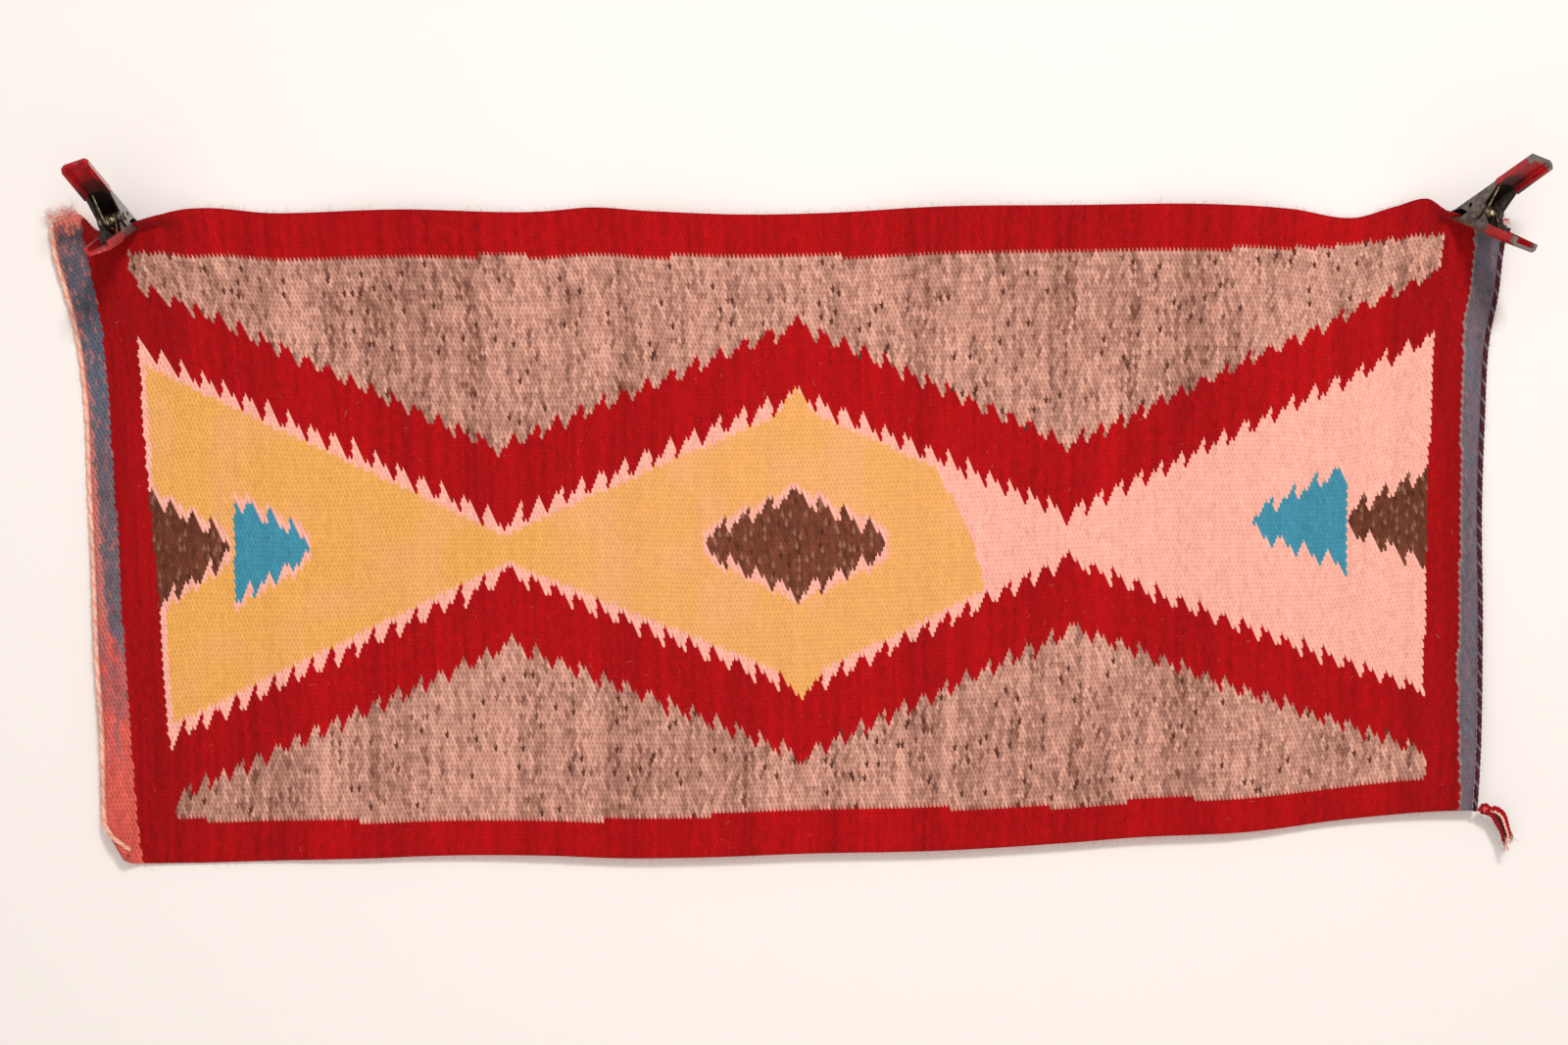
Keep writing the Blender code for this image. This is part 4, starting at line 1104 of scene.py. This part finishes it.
# Knot of the tassel, in millimetres: a ring of yarn, a coil in front of it, and a wrap round
# the yarns beside it. Its middle stands off the cloth's corner, in metres
KNOT_FROM_CORNER = (0.0109, -0.0010, 0.0012)
KNOT_RING = {"radius": 3.5, "yarn": 0.0020, "start": 0.3, "turns": 1.03, "back": 0.1}
KNOT_COIL = {"radius": 1.5, "yarn": 0.0012, "turns": 1.55, "tighter": 0.12, "y": -1.2,
             "forward": 0.05}
KNOT_WRAP = {"x": 5.2, "yarn": 0.0009, "half_angle": 1.1, "slant": 0.5, "depth": 2.6,
             "half_height": 2.8}

# Loose yarn: colour, radius and places from the knot's middle in millimetres, x, y and z
TASSEL_YARNS = (
    ("red", 1.9, ((2, -1, -1), (7.6, -2, 1.4), (14.8, -3.5, -2.8), (17.6, -4, -9.6),
                  (20.0, -4, -18.8), (21.7, -3.5, -23.4))),
    ("knot_brown", 2.9, ((1, 0, -2), (7.6, 0, -3.7), (11.1, 0, -11.3), (14.5, -0.5, -18.1),
                         (17, -1, -24.1))),
    ("knot_brown", 2.5, ((2, 0.6, 0), (8, 0.8, -1.6), (12.6, 0.8, -6.8), (15.6, 0.4, -14.5),
                         (17.6, 0, -21.5))),
    ("pale_coral", 1.4, ((3, -1, -1), (9, -3, -2.2), (12.8, -3.6, -5.4), (16.2, -4.2, -13.9),
                         (18.7, -4.2, -22.4), (17, -4, -31.7))),
    ("knot_red", 1.9, ((0, -2, -2), (5.0, -2.6, -5.0), (9.2, -3, -12), (13.0, -3.2, -19.5),
                       (15.6, -3, -27.5))),
    ("knot_red", 1.5, ((2, -2, 0), (8, -2.6, -0.6), (13.6, -3, -4.4), (17, -3.4, -12),
                       (19, -3.4, -20))),
    ("knot_red", 1.2, ((-6.2, 0, -0.6), (-4.5, -0.4, -0.8), (-2.5, -0.8, -0.6), (0, -1, 0))),
)
TUFT_LEFT_YARNS = (
    ("coral", 1.0, ((-9, 0, 0.2), (-5, -0.2, 0.9), (-1, 0.2, 0.7), (3, 0, 0.2))),
    ("pale_coral", 1.0, ((-14, 0, -3.0), (-14, -0.4, 0.4), (-9, -0.6, 2.0), (-3, -0.2, 1.4))),
    ("coral", 1.0, ((0, -0.4, 1.4), (3, -0.2, 0.7), (7, 0.2, 0.6), (9.5, 0, 0.1))),
    ("faded_coral", 0.8, ((-6, -0.4, 1.9), (-2, -0.6, 2.4), (1.5, -0.2, 1.9))),
)
TUFT_RIGHT_YARNS = (
    ("coral", 1.1, ((-3, 0, -1), (-1, -0.8, 2.6), (1.5, -1, 4.0), (4.0, -0.6, 4.4))),
    ("pale_coral", 0.9, ((-2, 0, -2), (1.5, -0.4, 0.2), (4.2, -0.6, 1.6), (6.0, -0.6, 1.0))),
    ("coral", 1.0, ((-3.5, 0, 0), (-2.6, -0.4, 3), (-1.4, -0.8, 5.4))),
)

# Tufts: where each sits along the top edge, that edge's slope, its yarns, how many hairs it
# has, where they start, where they point and how long they are. Hairs are in millimetres
TUFT_SEAT = 0.0009
TUFTS = {
    "tuft_top_left": {"u": 0.0095, "slope": 0.30, "yarns": TUFT_LEFT_YARNS, "hairs": 260,
                      "spread": (-14.0, 9.0), "aim": (-0.85, -0.10, 0.50), "length": 8.0},
    "tuft_top_right": {"u": 0.9970, "slope": -0.2, "yarns": TUFT_RIGHT_YARNS, "hairs": 45,
                       "spread": (-3.0, 3.0), "aim": (0.75, -0.10, 0.5), "length": 5.0},
}
TUFT_PALE_HAIRS = 0.85
# How far the tufts' pale hairs are lightened towards white: painted light, which offsets the shade
# that falls on them
TUFT_PAINTED_LIGHT = 0.35


def yarn_bunch(name, groups, material):
    """Joins yarn ends and hairs into one mesh; groups are (paths, radii, colour) triples."""
    made = []
    for number, (paths, radii, colour) in enumerate(groups):
        tone = wool(colour) if isinstance(colour, str) else colour
        sides = 3 if paths.shape[1] == HAIR_POINTS else 7
        made.append(tube_mesh("%s_%d" % (name, number), paths, radii, sides, material, tone))
    first, others = made[0], made[1:]
    with bpy.context.temp_override(active_object=first, object=first,
                                   selected_objects=made, selected_editable_objects=made):
        bpy.ops.object.join()
    first.name = name
    first.data.name = name
    return first


def loose_hairs(rng, centre, spec):
    """Returns a tuft's fine hairs as one group of paths, radii and colours."""
    count = spec["hairs"]
    along = rng.uniform(*spec["spread"], count) / 1000
    height = rng.uniform(-0.5, 2.5, count) / 1000
    starts = centre + np.stack([along, rng.normal(0, 0.0006, count),
                                along * spec["slope"] + height], axis=1)
    aims = unit(np.array(spec["aim"]) + rng.normal(0, 0.38, (count, 3)))
    lengths = spec["length"] / 1000 * rng.uniform(0.35, 1.25, count)
    bends = rng.normal(0, 0.35, (count, 3))
    pick = rng.random(count) < TUFT_PALE_HAIRS
    pale = wool("pale_coral")
    # Painted light: the pale hairs are lightened towards white against the shade on them
    pale = pale + (1.0 - pale) * TUFT_PAINTED_LIGHT
    tones = np.where(pick[:, None], pale, wool("coral"))[:, None]
    return hairs(starts, aims, lengths, bends), 0.00011, tones


def knot_yarns():
    """Returns the knot's ring, coil and wrap: points, yarn radius, number of points, colour."""
    angle = KNOT_RING["start"] + np.linspace(0.0, 2 * math.pi * KNOT_RING["turns"], 48)
    radius = KNOT_RING["radius"]
    ring = np.stack([np.cos(angle) * radius, angle * KNOT_RING["back"],
                     np.sin(angle) * radius], axis=1)
    turn = np.linspace(0.0, 2 * math.pi * KNOT_COIL["turns"], 40)
    radius = KNOT_COIL["radius"] - KNOT_COIL["tighter"] * turn
    coil = np.stack([np.cos(turn) * radius, KNOT_COIL["y"] - KNOT_COIL["forward"] * turn,
                     np.sin(turn) * radius], axis=1)
    half = np.linspace(-KNOT_WRAP["half_angle"], KNOT_WRAP["half_angle"], 24)
    wrap = np.stack([KNOT_WRAP["x"] + KNOT_WRAP["slant"] * half,
                     -KNOT_WRAP["depth"] * np.cos(half),
                     KNOT_WRAP["half_height"] * np.sin(half)], axis=1)
    return ((ring, KNOT_RING["yarn"], 48, "knot_red"), (coil, KNOT_COIL["yarn"], 48, "coral"),
            (wrap, KNOT_WRAP["yarn"], 24, "pale_coral"))


def tassel_groups(rng, centre):
    """Returns the tassel's yarns with their loose fibres at the tips, and its knot."""
    groups = []
    for colour, radius, points in TASSEL_YARNS:
        plies, radii = yarn_end(points, radius / 1000)
        groups.append((plies + centre, radii, colour))
        tips = np.repeat(plies[:, -1] + centre, 9, axis=0)
        aims = unit(np.array((0.15, -0.05, -1.0)) + rng.normal(0, 0.35, tips.shape))
        loose = hairs(tips, aims, rng.uniform(0.002, 0.007, len(tips)),
                      rng.normal(0, 0.3, tips.shape))
        groups.append((loose, 0.00012, colour))
    for points, radius, count, colour in knot_yarns():
        plies, radii = yarn_end(points, radius, count)
        groups.append((plies + centre, radii, colour))
    return groups


def tuft_groups(rng, centre, spec):
    """Returns a tuft's yarns, which follow the slope of the top edge, and its hairs."""
    groups = []
    for colour, radius, points in spec["yarns"]:
        sloped = [(x, y, z + x * spec["slope"]) for x, y, z in points]
        plies, radii = yarn_end(sloped, radius / 1000)
        groups.append((plies + centre, radii, colour))
    groups.append(loose_hairs(rng, centre, spec))
    return groups


class RUG_OT_loose_yarn(bpy.types.Operator):
    """Knot the tassel at the low right corner and fray the yarn at the top corners"""
    bl_idname = "rug.loose_yarn"
    bl_label = "Tassel and tufts"

    def execute(self, context):
        material = wool_material("loose_wool", fibre=shared_groups()["fibre"])
        rng = np.random.default_rng(21)
        corner, _ = cloth_surface(np.array([1.0]), np.array([0.0]))
        groups = tassel_groups(rng, corner[0] + np.array(KNOT_FROM_CORNER))
        tassel = yarn_bunch("corner_tassel_knotted", groups, material)
        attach(tassel, BODY)
        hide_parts("corner_tassel")
        for node, spec in TUFTS.items():
            top, _ = cloth_surface(np.array([spec["u"], spec["u"]]), np.array([0.995, 1.0]))
            centre = top[1] + unit(top[1] - top[0]) * TUFT_SEAT
            item = yarn_bunch(node + "_frayed", tuft_groups(rng, centre, spec), material)
            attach(item, BODY)
            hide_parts(node)
        return {"FINISHED"}


# Wool fuzz: hairs on each edge and on the front face, how far the edge hairs start past the
# rim, which clears the cords, and the clear space round each clamp
EDGE_HAIRS = (("left", 420, "pale_coral"), ("right", 160, "maroon"), ("top", 420, "red"),
              ("bottom", 420, "red"))
FACE_HAIRS = 420
FUZZ_PAST_RIM = 0.0035
FUZZ_PALER = 0.35
FUZZ_LENGTHS = (0.0015, 0.0045)
FUZZ_RADII = (0.00004, 0.00010)
CLAMP_CLEARANCE = 0.045


def edge_hairs(rng, edge, count, colour):
    """Returns starts, directions and colours of hairs that stand off one edge of the cloth."""
    free = rng.uniform(0.01, 0.985, count)
    fixed = np.full(count, 0.0 if edge in ("left", "bottom") else 1.0)
    inside = np.abs(fixed - 0.004)
    at_side = edge in ("left", "right")
    here, _ = cloth_surface(fixed, free) if at_side else cloth_surface(free, fixed)
    inner, _ = cloth_surface(inside, free) if at_side else cloth_surface(free, inside)
    if at_side:
        here = here + unit(here - inner) * FUZZ_PAST_RIM
    aims = unit(here - inner) + rng.normal(0, 0.5, (count, 3))
    tone = wool(colour)
    return here, aims, tone + (1.0 - tone) * rng.uniform(0.0, FUZZ_PALER, (count, 1))


def face_hairs(rng, count):
    """Returns starts, directions and colours of hairs on the front face."""
    u, share = rng.uniform(0.01, 0.99, count), rng.uniform(0.02, 0.93, count)
    here, _ = cloth_surface(u, share)
    aside, _ = cloth_surface(u + 0.001, share)
    above_here, _ = cloth_surface(u, share + 0.001)
    normal = unit(np.cross(aside - here, above_here - here))
    aims = normal * 0.35 + rng.normal(0, 0.6, (count, 3)) * (1, 0.1, 1)
    tones = wool("pale_coral") * rng.uniform(0.6, 1.0, (count, 1))
    return here + normal * RUG_THICKNESS * 0.48, aims, tones


def clear_of_clamps(places):
    """Tells which places lie outside the space round each clamp."""
    x, z = (places - FRONT_VIEW_MIDDLE)[:, (0, 2)].T
    clear = np.ones(len(places), bool)
    for lip in LIPS.values():
        near = np.abs(x - lip["middle"]) < CLAMP_CLEARANCE
        clear &= ~(near & (z > lip["height"] - CLAMP_CLEARANCE))
    return clear


class RUG_OT_fuzz(bpy.types.Operator):
    """Raise fine wool hairs along the edges of the cloth and on its front"""
    bl_idname = "rug.fuzz"
    bl_label = "Wool fuzz"

    def execute(self, context):
        rng = np.random.default_rng(33)
        parts = [edge_hairs(rng, *row) for row in EDGE_HAIRS]
        parts.append(face_hairs(rng, FACE_HAIRS))
        starts, aims, tones = (np.concatenate(part) for part in zip(*parts))
        clear = clear_of_clamps(starts)
        starts, aims, tones = starts[clear], unit(aims[clear]), tones[clear]
        lengths = rng.uniform(*FUZZ_LENGTHS, len(starts))
        bends = rng.normal(0, 0.45, starts.shape) * (1, 0.2, 1)
        radii = rng.uniform(*FUZZ_RADII, (len(starts), 1))
        material = wool_material("fuzz_wool", fibre=shared_groups()["fibre"])
        item = tube_mesh("wool_fuzz", hairs(starts, aims, lengths, bends), radii, 3, material,
                         tones[:, None])
        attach(item, BODY)
        return {"FINISHED"}


def edge_value(tree, value, start, finish):
    """Runs smoothly from 0 at start to 1 at finish."""
    return put(tree, "ShaderNodeMapRange", {0: value, 1: start, 2: finish, 3: 0.0, 4: 1.0},
               interpolation_type="SMOOTHSTEP").outputs[0]


# Clamps: each finish's light and dark colour, how metallic it is and its least roughness
CLAMP_FINISHES = {
    "steel": ((0.56, 0.51, 0.47), (0.38, 0.34, 0.30), 0.72, 0.34),
    "spring": ((0.80, 0.72, 0.58), (0.42, 0.37, 0.28), 0.95, 0.20),
    "dip": ((0.74, 0.05, 0.10), (0.60, 0.03, 0.07), 0.0, 0.26),
}
BARE_TIP = (0.60, 0.55, 0.53)
# Near black painted on each handle's inner side, which faces the other handle: painted shade
PAINTED_INNER_SHADE = (0.13, 0.09, 0.08)

# Wear and painted shade of a handle: how much of its tip is bare, over how much that fades,
# where the painted shade on its inner side starts and is full behind the tip, and how unevenly
WORN_LENGTHS = {"left": 0.0006, "right": 0.0058}
WORN_FADE = 0.0014
PAINTED_SHADE_FROM_TIP = (0.018, 0.034)
WEAR_AND_SHADE_UNEVEN = 0.006
TIP_DEPTH = 0.003


def handle_group():
    """Wear and painted shade of a clamp handle.

    Along is the distance from the handle's tip, made uneven by noise. Worn is 1 at the tip,
    and the painted shade output is 1 on the side that faces the other handle, away from the tip.
    """
    group, enter, leave = new_group(
        "handle_wear_and_shade",
        (("Place", "NodeSocketVector", None), ("Facing", "NodeSocketVector", None),
         ("Tip", "NodeSocketVector", None), ("Backward", "NodeSocketVector", None),
         ("Inward", "NodeSocketVector", None), ("Worn Length", "NodeSocketFloat", 0.006)),
        (("Worn", "NodeSocketFloat"), ("Painted Shade", "NodeSocketFloat")))

    def vector(operation, a, b):
        return put(group, "ShaderNodeVectorMath", {0: a, 1: b}, operation=operation).outputs

    away = vector("SUBTRACT", enter.outputs["Place"], enter.outputs["Tip"])["Vector"]
    along = vector("DOT_PRODUCT", away, enter.outputs["Backward"])["Value"]
    noise = put(group, "ShaderNodeTexNoise", {"Vector": enter.outputs["Place"], "Scale": 260.0,
                                              "Detail": 2.0}).outputs["Fac"]
    uneven = sums(group, "MULTIPLY_ADD", noise, WEAR_AND_SHADE_UNEVEN, along)
    length = enter.outputs["Worn Length"]
    faded = edge_value(group, uneven, length, sums(group, "ADD", length, WORN_FADE))
    worn = sums(group, "SUBTRACT", 1.0, faded)
    # Painted shade: on the side that faces the other handle, growing in away from the tip
    facing = vector("DOT_PRODUCT", enter.outputs["Facing"], enter.outputs["Inward"])["Value"]
    inside = edge_value(group, facing, -0.05, 0.35)
    painted_shade = sums(group, "MULTIPLY", inside, edge_value(group, uneven, *PAINTED_SHADE_FROM_TIP))
    group.links.new(worn, leave.inputs["Worn"])
    group.links.new(painted_shade, leave.inputs["Painted Shade"])
    return group


def mixed_colour(tree, share, first, second):
    """Mixes two colours; each is a socket or a display colour."""
    item = put(tree, "ShaderNodeMix", {0: share}, data_type="RGBA")
    for slot, colour in ((6, first), (7, second)):
        if isinstance(colour, bpy.types.NodeSocket):
            tree.links.new(colour, item.inputs[slot])
        else:
            item.inputs[slot].default_value = (*linear(colour), 1.0)
    return item.outputs[2]


def metal_mottle(tree, place, scale):
    """Adds noise that mottles a metal."""
    return put(tree, "ShaderNodeTexNoise", {"Vector": place, "Scale": scale,
                                            "Detail": 5.0}).outputs["Fac"]


def clamp_material(name, kind, wear_and_shade=None):
    """A clamp part's finish: steel, spring wire, or the dip with its worn tip, and painted shade on
    a handle's inner side.

    Its last argument holds the handle's tip, the way back from it, the way to the other handle,
    which picks the side that gets painted shade, and how much of the tip is worn bare.
    """
    material, tree, shader = new_material(name)
    place = put(tree, "ShaderNodeTexCoord").outputs["Object"]
    mottle = metal_mottle(tree, place, 210.0)
    light, dark, metal, rough = CLAMP_FINISHES[kind]
    base = mixed_colour(tree, edge_value(tree, mottle, 0.35, 0.65), dark, light)
    shader.inputs["Metallic"].default_value = metal
    if wear_and_shade is not None:
        group = bpy.data.node_groups.get("handle_wear_and_shade") or handle_group()
        facing = put(tree, "ShaderNodeNewGeometry").outputs["Normal"]
        worn = put(tree, "ShaderNodeGroup", node_tree=group)
        tree.links.new(place, worn.inputs["Place"])
        tree.links.new(facing, worn.inputs["Facing"])
        for key, value in zip(("Tip", "Backward", "Inward"), wear_and_shade[:3]):
            worn.inputs[key].default_value = tuple(value)
        worn.inputs["Worn Length"].default_value = wear_and_shade[3]
        if kind == "dip":
            base = mixed_colour(tree, worn.outputs["Worn"], base, BARE_TIP)
            tree.links.new(sums(tree, "MULTIPLY", worn.outputs["Worn"], 0.8),
                           shader.inputs["Metallic"])
        # Painted shade: the handle's inner side is mixed towards near black behind the tip
        painted_shade_share = sums(tree, "MULTIPLY", worn.outputs["Painted Shade"], 0.88)
        base = mixed_colour(tree, painted_shade_share, base, PAINTED_INNER_SHADE)
    tree.links.new(base, shader.inputs["Base Color"])
    tree.links.new(sums(tree, "MULTIPLY_ADD", mottle, 0.25, rough), shader.inputs["Roughness"])
    dents = put(tree, "ShaderNodeBump", {"Height": metal_mottle(tree, place, 90.0),
                                         "Distance": 0.0006, "Strength": 0.35})
    tree.links.new(dents.outputs[0], shader.inputs["Normal"])
    return material


def handle_tip(name, pivot):
    """Returns the middle of the points of a handle's dip that lie farthest from the pivot."""
    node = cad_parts[name]
    points = np.empty(len(node.data.vertices) * 3)
    node.data.vertices.foreach_get("co", points)
    points = points.reshape(-1, 3)
    distance = np.linalg.norm(points - pivot, axis=1)
    return points[distance > distance.max() - TIP_DEPTH].mean(axis=0)


class RUG_OT_clamps(bpy.types.Operator):
    """Finish the clamps' steel, springs and dipped handles, with painted shade on the handles'
    inner sides
    """
    bl_idname = "rug.clamps"
    bl_label = "Clamps"

    def execute(self, context):
        steel = clamp_material("clamp_steel_worn", "steel")
        spring = clamp_material("spring_steel_oiled", "spring")
        for side in LIPS:
            base = "clamp_%s_" % side
            pivot = np.mean(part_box(base + "pin"), axis=0)
            tips = {word: handle_tip(base + word + "_dip", pivot) for word in ("upper", "lower")}
            finishes = {"pin": steel, "spring": spring}
            for word, other in (("upper", "lower"), ("lower", "upper")):
                wear_and_shade = (tips[word], unit(pivot - tips[word]), unit(tips[other] - tips[word]),
                        WORN_LENGTHS[side])
                for kind, part in (("dip", "_dip"), ("steel", "_lever")):
                    finishes[word + part] = clamp_material(base + word + part + "_finish", kind,
                                                           wear_and_shade)
            for part, material in finishes.items():
                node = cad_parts[base + part]
                node.data.materials.clear()
                node.data.materials.append(material)
        return {"FINISHED"}


# Stage: floor height, backdrop place and limits, colours, and the lights' places, sizes and
# powers. The world fills the shadows
FLOOR_Z = -1.2
BACKDROP_Y = 0.0015
STAGE_REACH = 3.0
BACKDROP_TOP = 1.6
BACKDROP_COLOUR = (0.94, 0.912, 0.892)
FLOOR_COLOUR = (0.93, 0.91, 0.89)
LIGHTS = (
    ("key_light", (0.60, -3.0, 1.35), 0.5, 64.0),
    ("front_light", (-0.3, -2.6, 0.1), 2.2, 20.0),
    ("back_light", (0.0, 2.4, 0.4), 2.4, 28.0),
)
WORLD_COLOUR = (1.0, 0.97, 0.94, 1.0)
WORLD_STRENGTH = 0.36


def add_camera(scene):
    """Looks at the middle of the cloth from the front, framed as the photograph is."""
    data = bpy.data.cameras.new("front_camera")
    camera = bpy.data.objects.new("front_camera", data)
    camera.location = (FRONT_VIEW_MIDDLE[0], -CAMERA_DISTANCE - STAND_OFF, FRONT_VIEW_MIDDLE[2])
    camera.rotation_euler = (math.radians(90), 0.0, 0.0)
    data.sensor_width = SENSOR_WIDTH
    data.lens = SENSOR_WIDTH * CAMERA_DISTANCE / FRAME_WIDTH
    scene.collection.objects.link(camera)
    scene.camera = camera


def add_backdrop():
    """Makes a pale upright sheet that is seen from the front only and casts nothing."""
    material, tree, shader = new_material(
        "pale_backdrop", base_color=(*linear(BACKDROP_COLOUR), 1.0), roughness=0.95)
    clear = put(tree, "ShaderNodeBsdfTransparent")
    behind = put(tree, "ShaderNodeNewGeometry").outputs["Backfacing"]
    mixed = put(tree, "ShaderNodeMixShader", {0: behind, 1: shader.outputs[0],
                                              2: clear.outputs[0]})
    tree.links.new(mixed.outputs[0], tree.nodes["Material Output"].inputs["Surface"])
    corners = [(-STAGE_REACH, BACKDROP_Y, FLOOR_Z), (STAGE_REACH, BACKDROP_Y, FLOOR_Z),
               (STAGE_REACH, BACKDROP_Y, BACKDROP_TOP), (-STAGE_REACH, BACKDROP_Y, BACKDROP_TOP)]
    backdrop = fill_mesh("backdrop", corners, np.array([[0, 1, 2], [0, 2, 3]]), material)
    backdrop.visible_diffuse = False
    backdrop.visible_glossy = False
    backdrop.visible_shadow = False
    return backdrop


def add_floor():
    """Makes a pale level sheet far below the cloth."""
    material, _, _ = new_material(
        "pale_floor", base_color=(*linear(FLOOR_COLOUR), 1.0), roughness=0.9)
    corners = [(-STAGE_REACH, -STAGE_REACH, FLOOR_Z), (STAGE_REACH, -STAGE_REACH, FLOOR_Z),
               (STAGE_REACH, STAGE_REACH, FLOOR_Z), (-STAGE_REACH, STAGE_REACH, FLOOR_Z)]
    return fill_mesh("floor", corners, np.array([[0, 1, 2], [0, 2, 3]]), material)


def add_lights(scene):
    """Aims area lights at the middle of the cloth and fills in with a faint warm world."""
    for name, place, size, power in LIGHTS:
        lamp = bpy.data.lights.new(name, "AREA")
        lamp.size, lamp.energy = size, power
        item = bpy.data.objects.new(name, lamp)
        item.location = place
        aim = Vector(FRONT_VIEW_MIDDLE) - item.location
        item.rotation_euler = aim.to_track_quat("-Z", "Y").to_euler()
        scene.collection.objects.link(item)
    world = bpy.data.worlds.new("studio")
    world.use_nodes = True
    sky = world.node_tree.nodes["Background"]
    sky.inputs[0].default_value = WORLD_COLOUR
    sky.inputs[1].default_value = WORLD_STRENGTH
    scene.world = world


class RUG_OT_stage(bpy.types.Operator):
    """Set out the floor, the backdrop, soft lights and the camera"""
    bl_idname = "rug.stage"
    bl_label = "Stage"

    def execute(self, context):
        context.scene.view_settings.view_transform = "Standard"
        add_camera(context.scene)
        backdrop, floor = add_backdrop(), add_floor()
        add_lights(context.scene)
        return {"FINISHED"}


class RUG_PT_panel(bpy.types.Panel):
    """Lists the rug's colours, sizes and makers"""
    bl_label = "Navajo rug"
    bl_idname = "RUG_PT_panel"
    bl_space_type = "VIEW_3D"
    bl_region_type = "UI"
    bl_category = "Rug"

    def draw(self, context):
        for group in (context.scene.rug_sizes, context.scene.rug_colours):
            box = self.layout.box()
            for name in group.bl_rna.properties.keys():
                if name not in ("rna_type", "name"):
                    box.prop(group, name)
        for maker in OPERATORS:
            self.layout.operator(maker.bl_idname)


OPERATORS = (RUG_OT_stage, RUG_OT_cloth, RUG_OT_end_cords, RUG_OT_loose_yarn, RUG_OT_fuzz,
             RUG_OT_clamps)
CLASSES = (RugColours, RugSizes, *OPERATORS, RUG_PT_panel)


def register():
    """Registers the classes and hangs the properties on the scene."""
    for item in CLASSES:
        bpy.utils.register_class(item)
    bpy.types.Scene.rug_colours = PointerProperty(type=RugColours)
    bpy.types.Scene.rug_sizes = PointerProperty(type=RugSizes)


def unregister():
    """Takes the properties and classes away again."""
    del bpy.types.Scene.rug_colours
    del bpy.types.Scene.rug_sizes
    for item in reversed(CLASSES):
        bpy.utils.unregister_class(item)


def main():
    """Makes every piece."""
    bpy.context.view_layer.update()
    register()
    for maker in OPERATORS:
        area, name = maker.bl_idname.split(".")
        getattr(getattr(bpy.ops, area), name)()


if __name__ == "__main__":
    main()
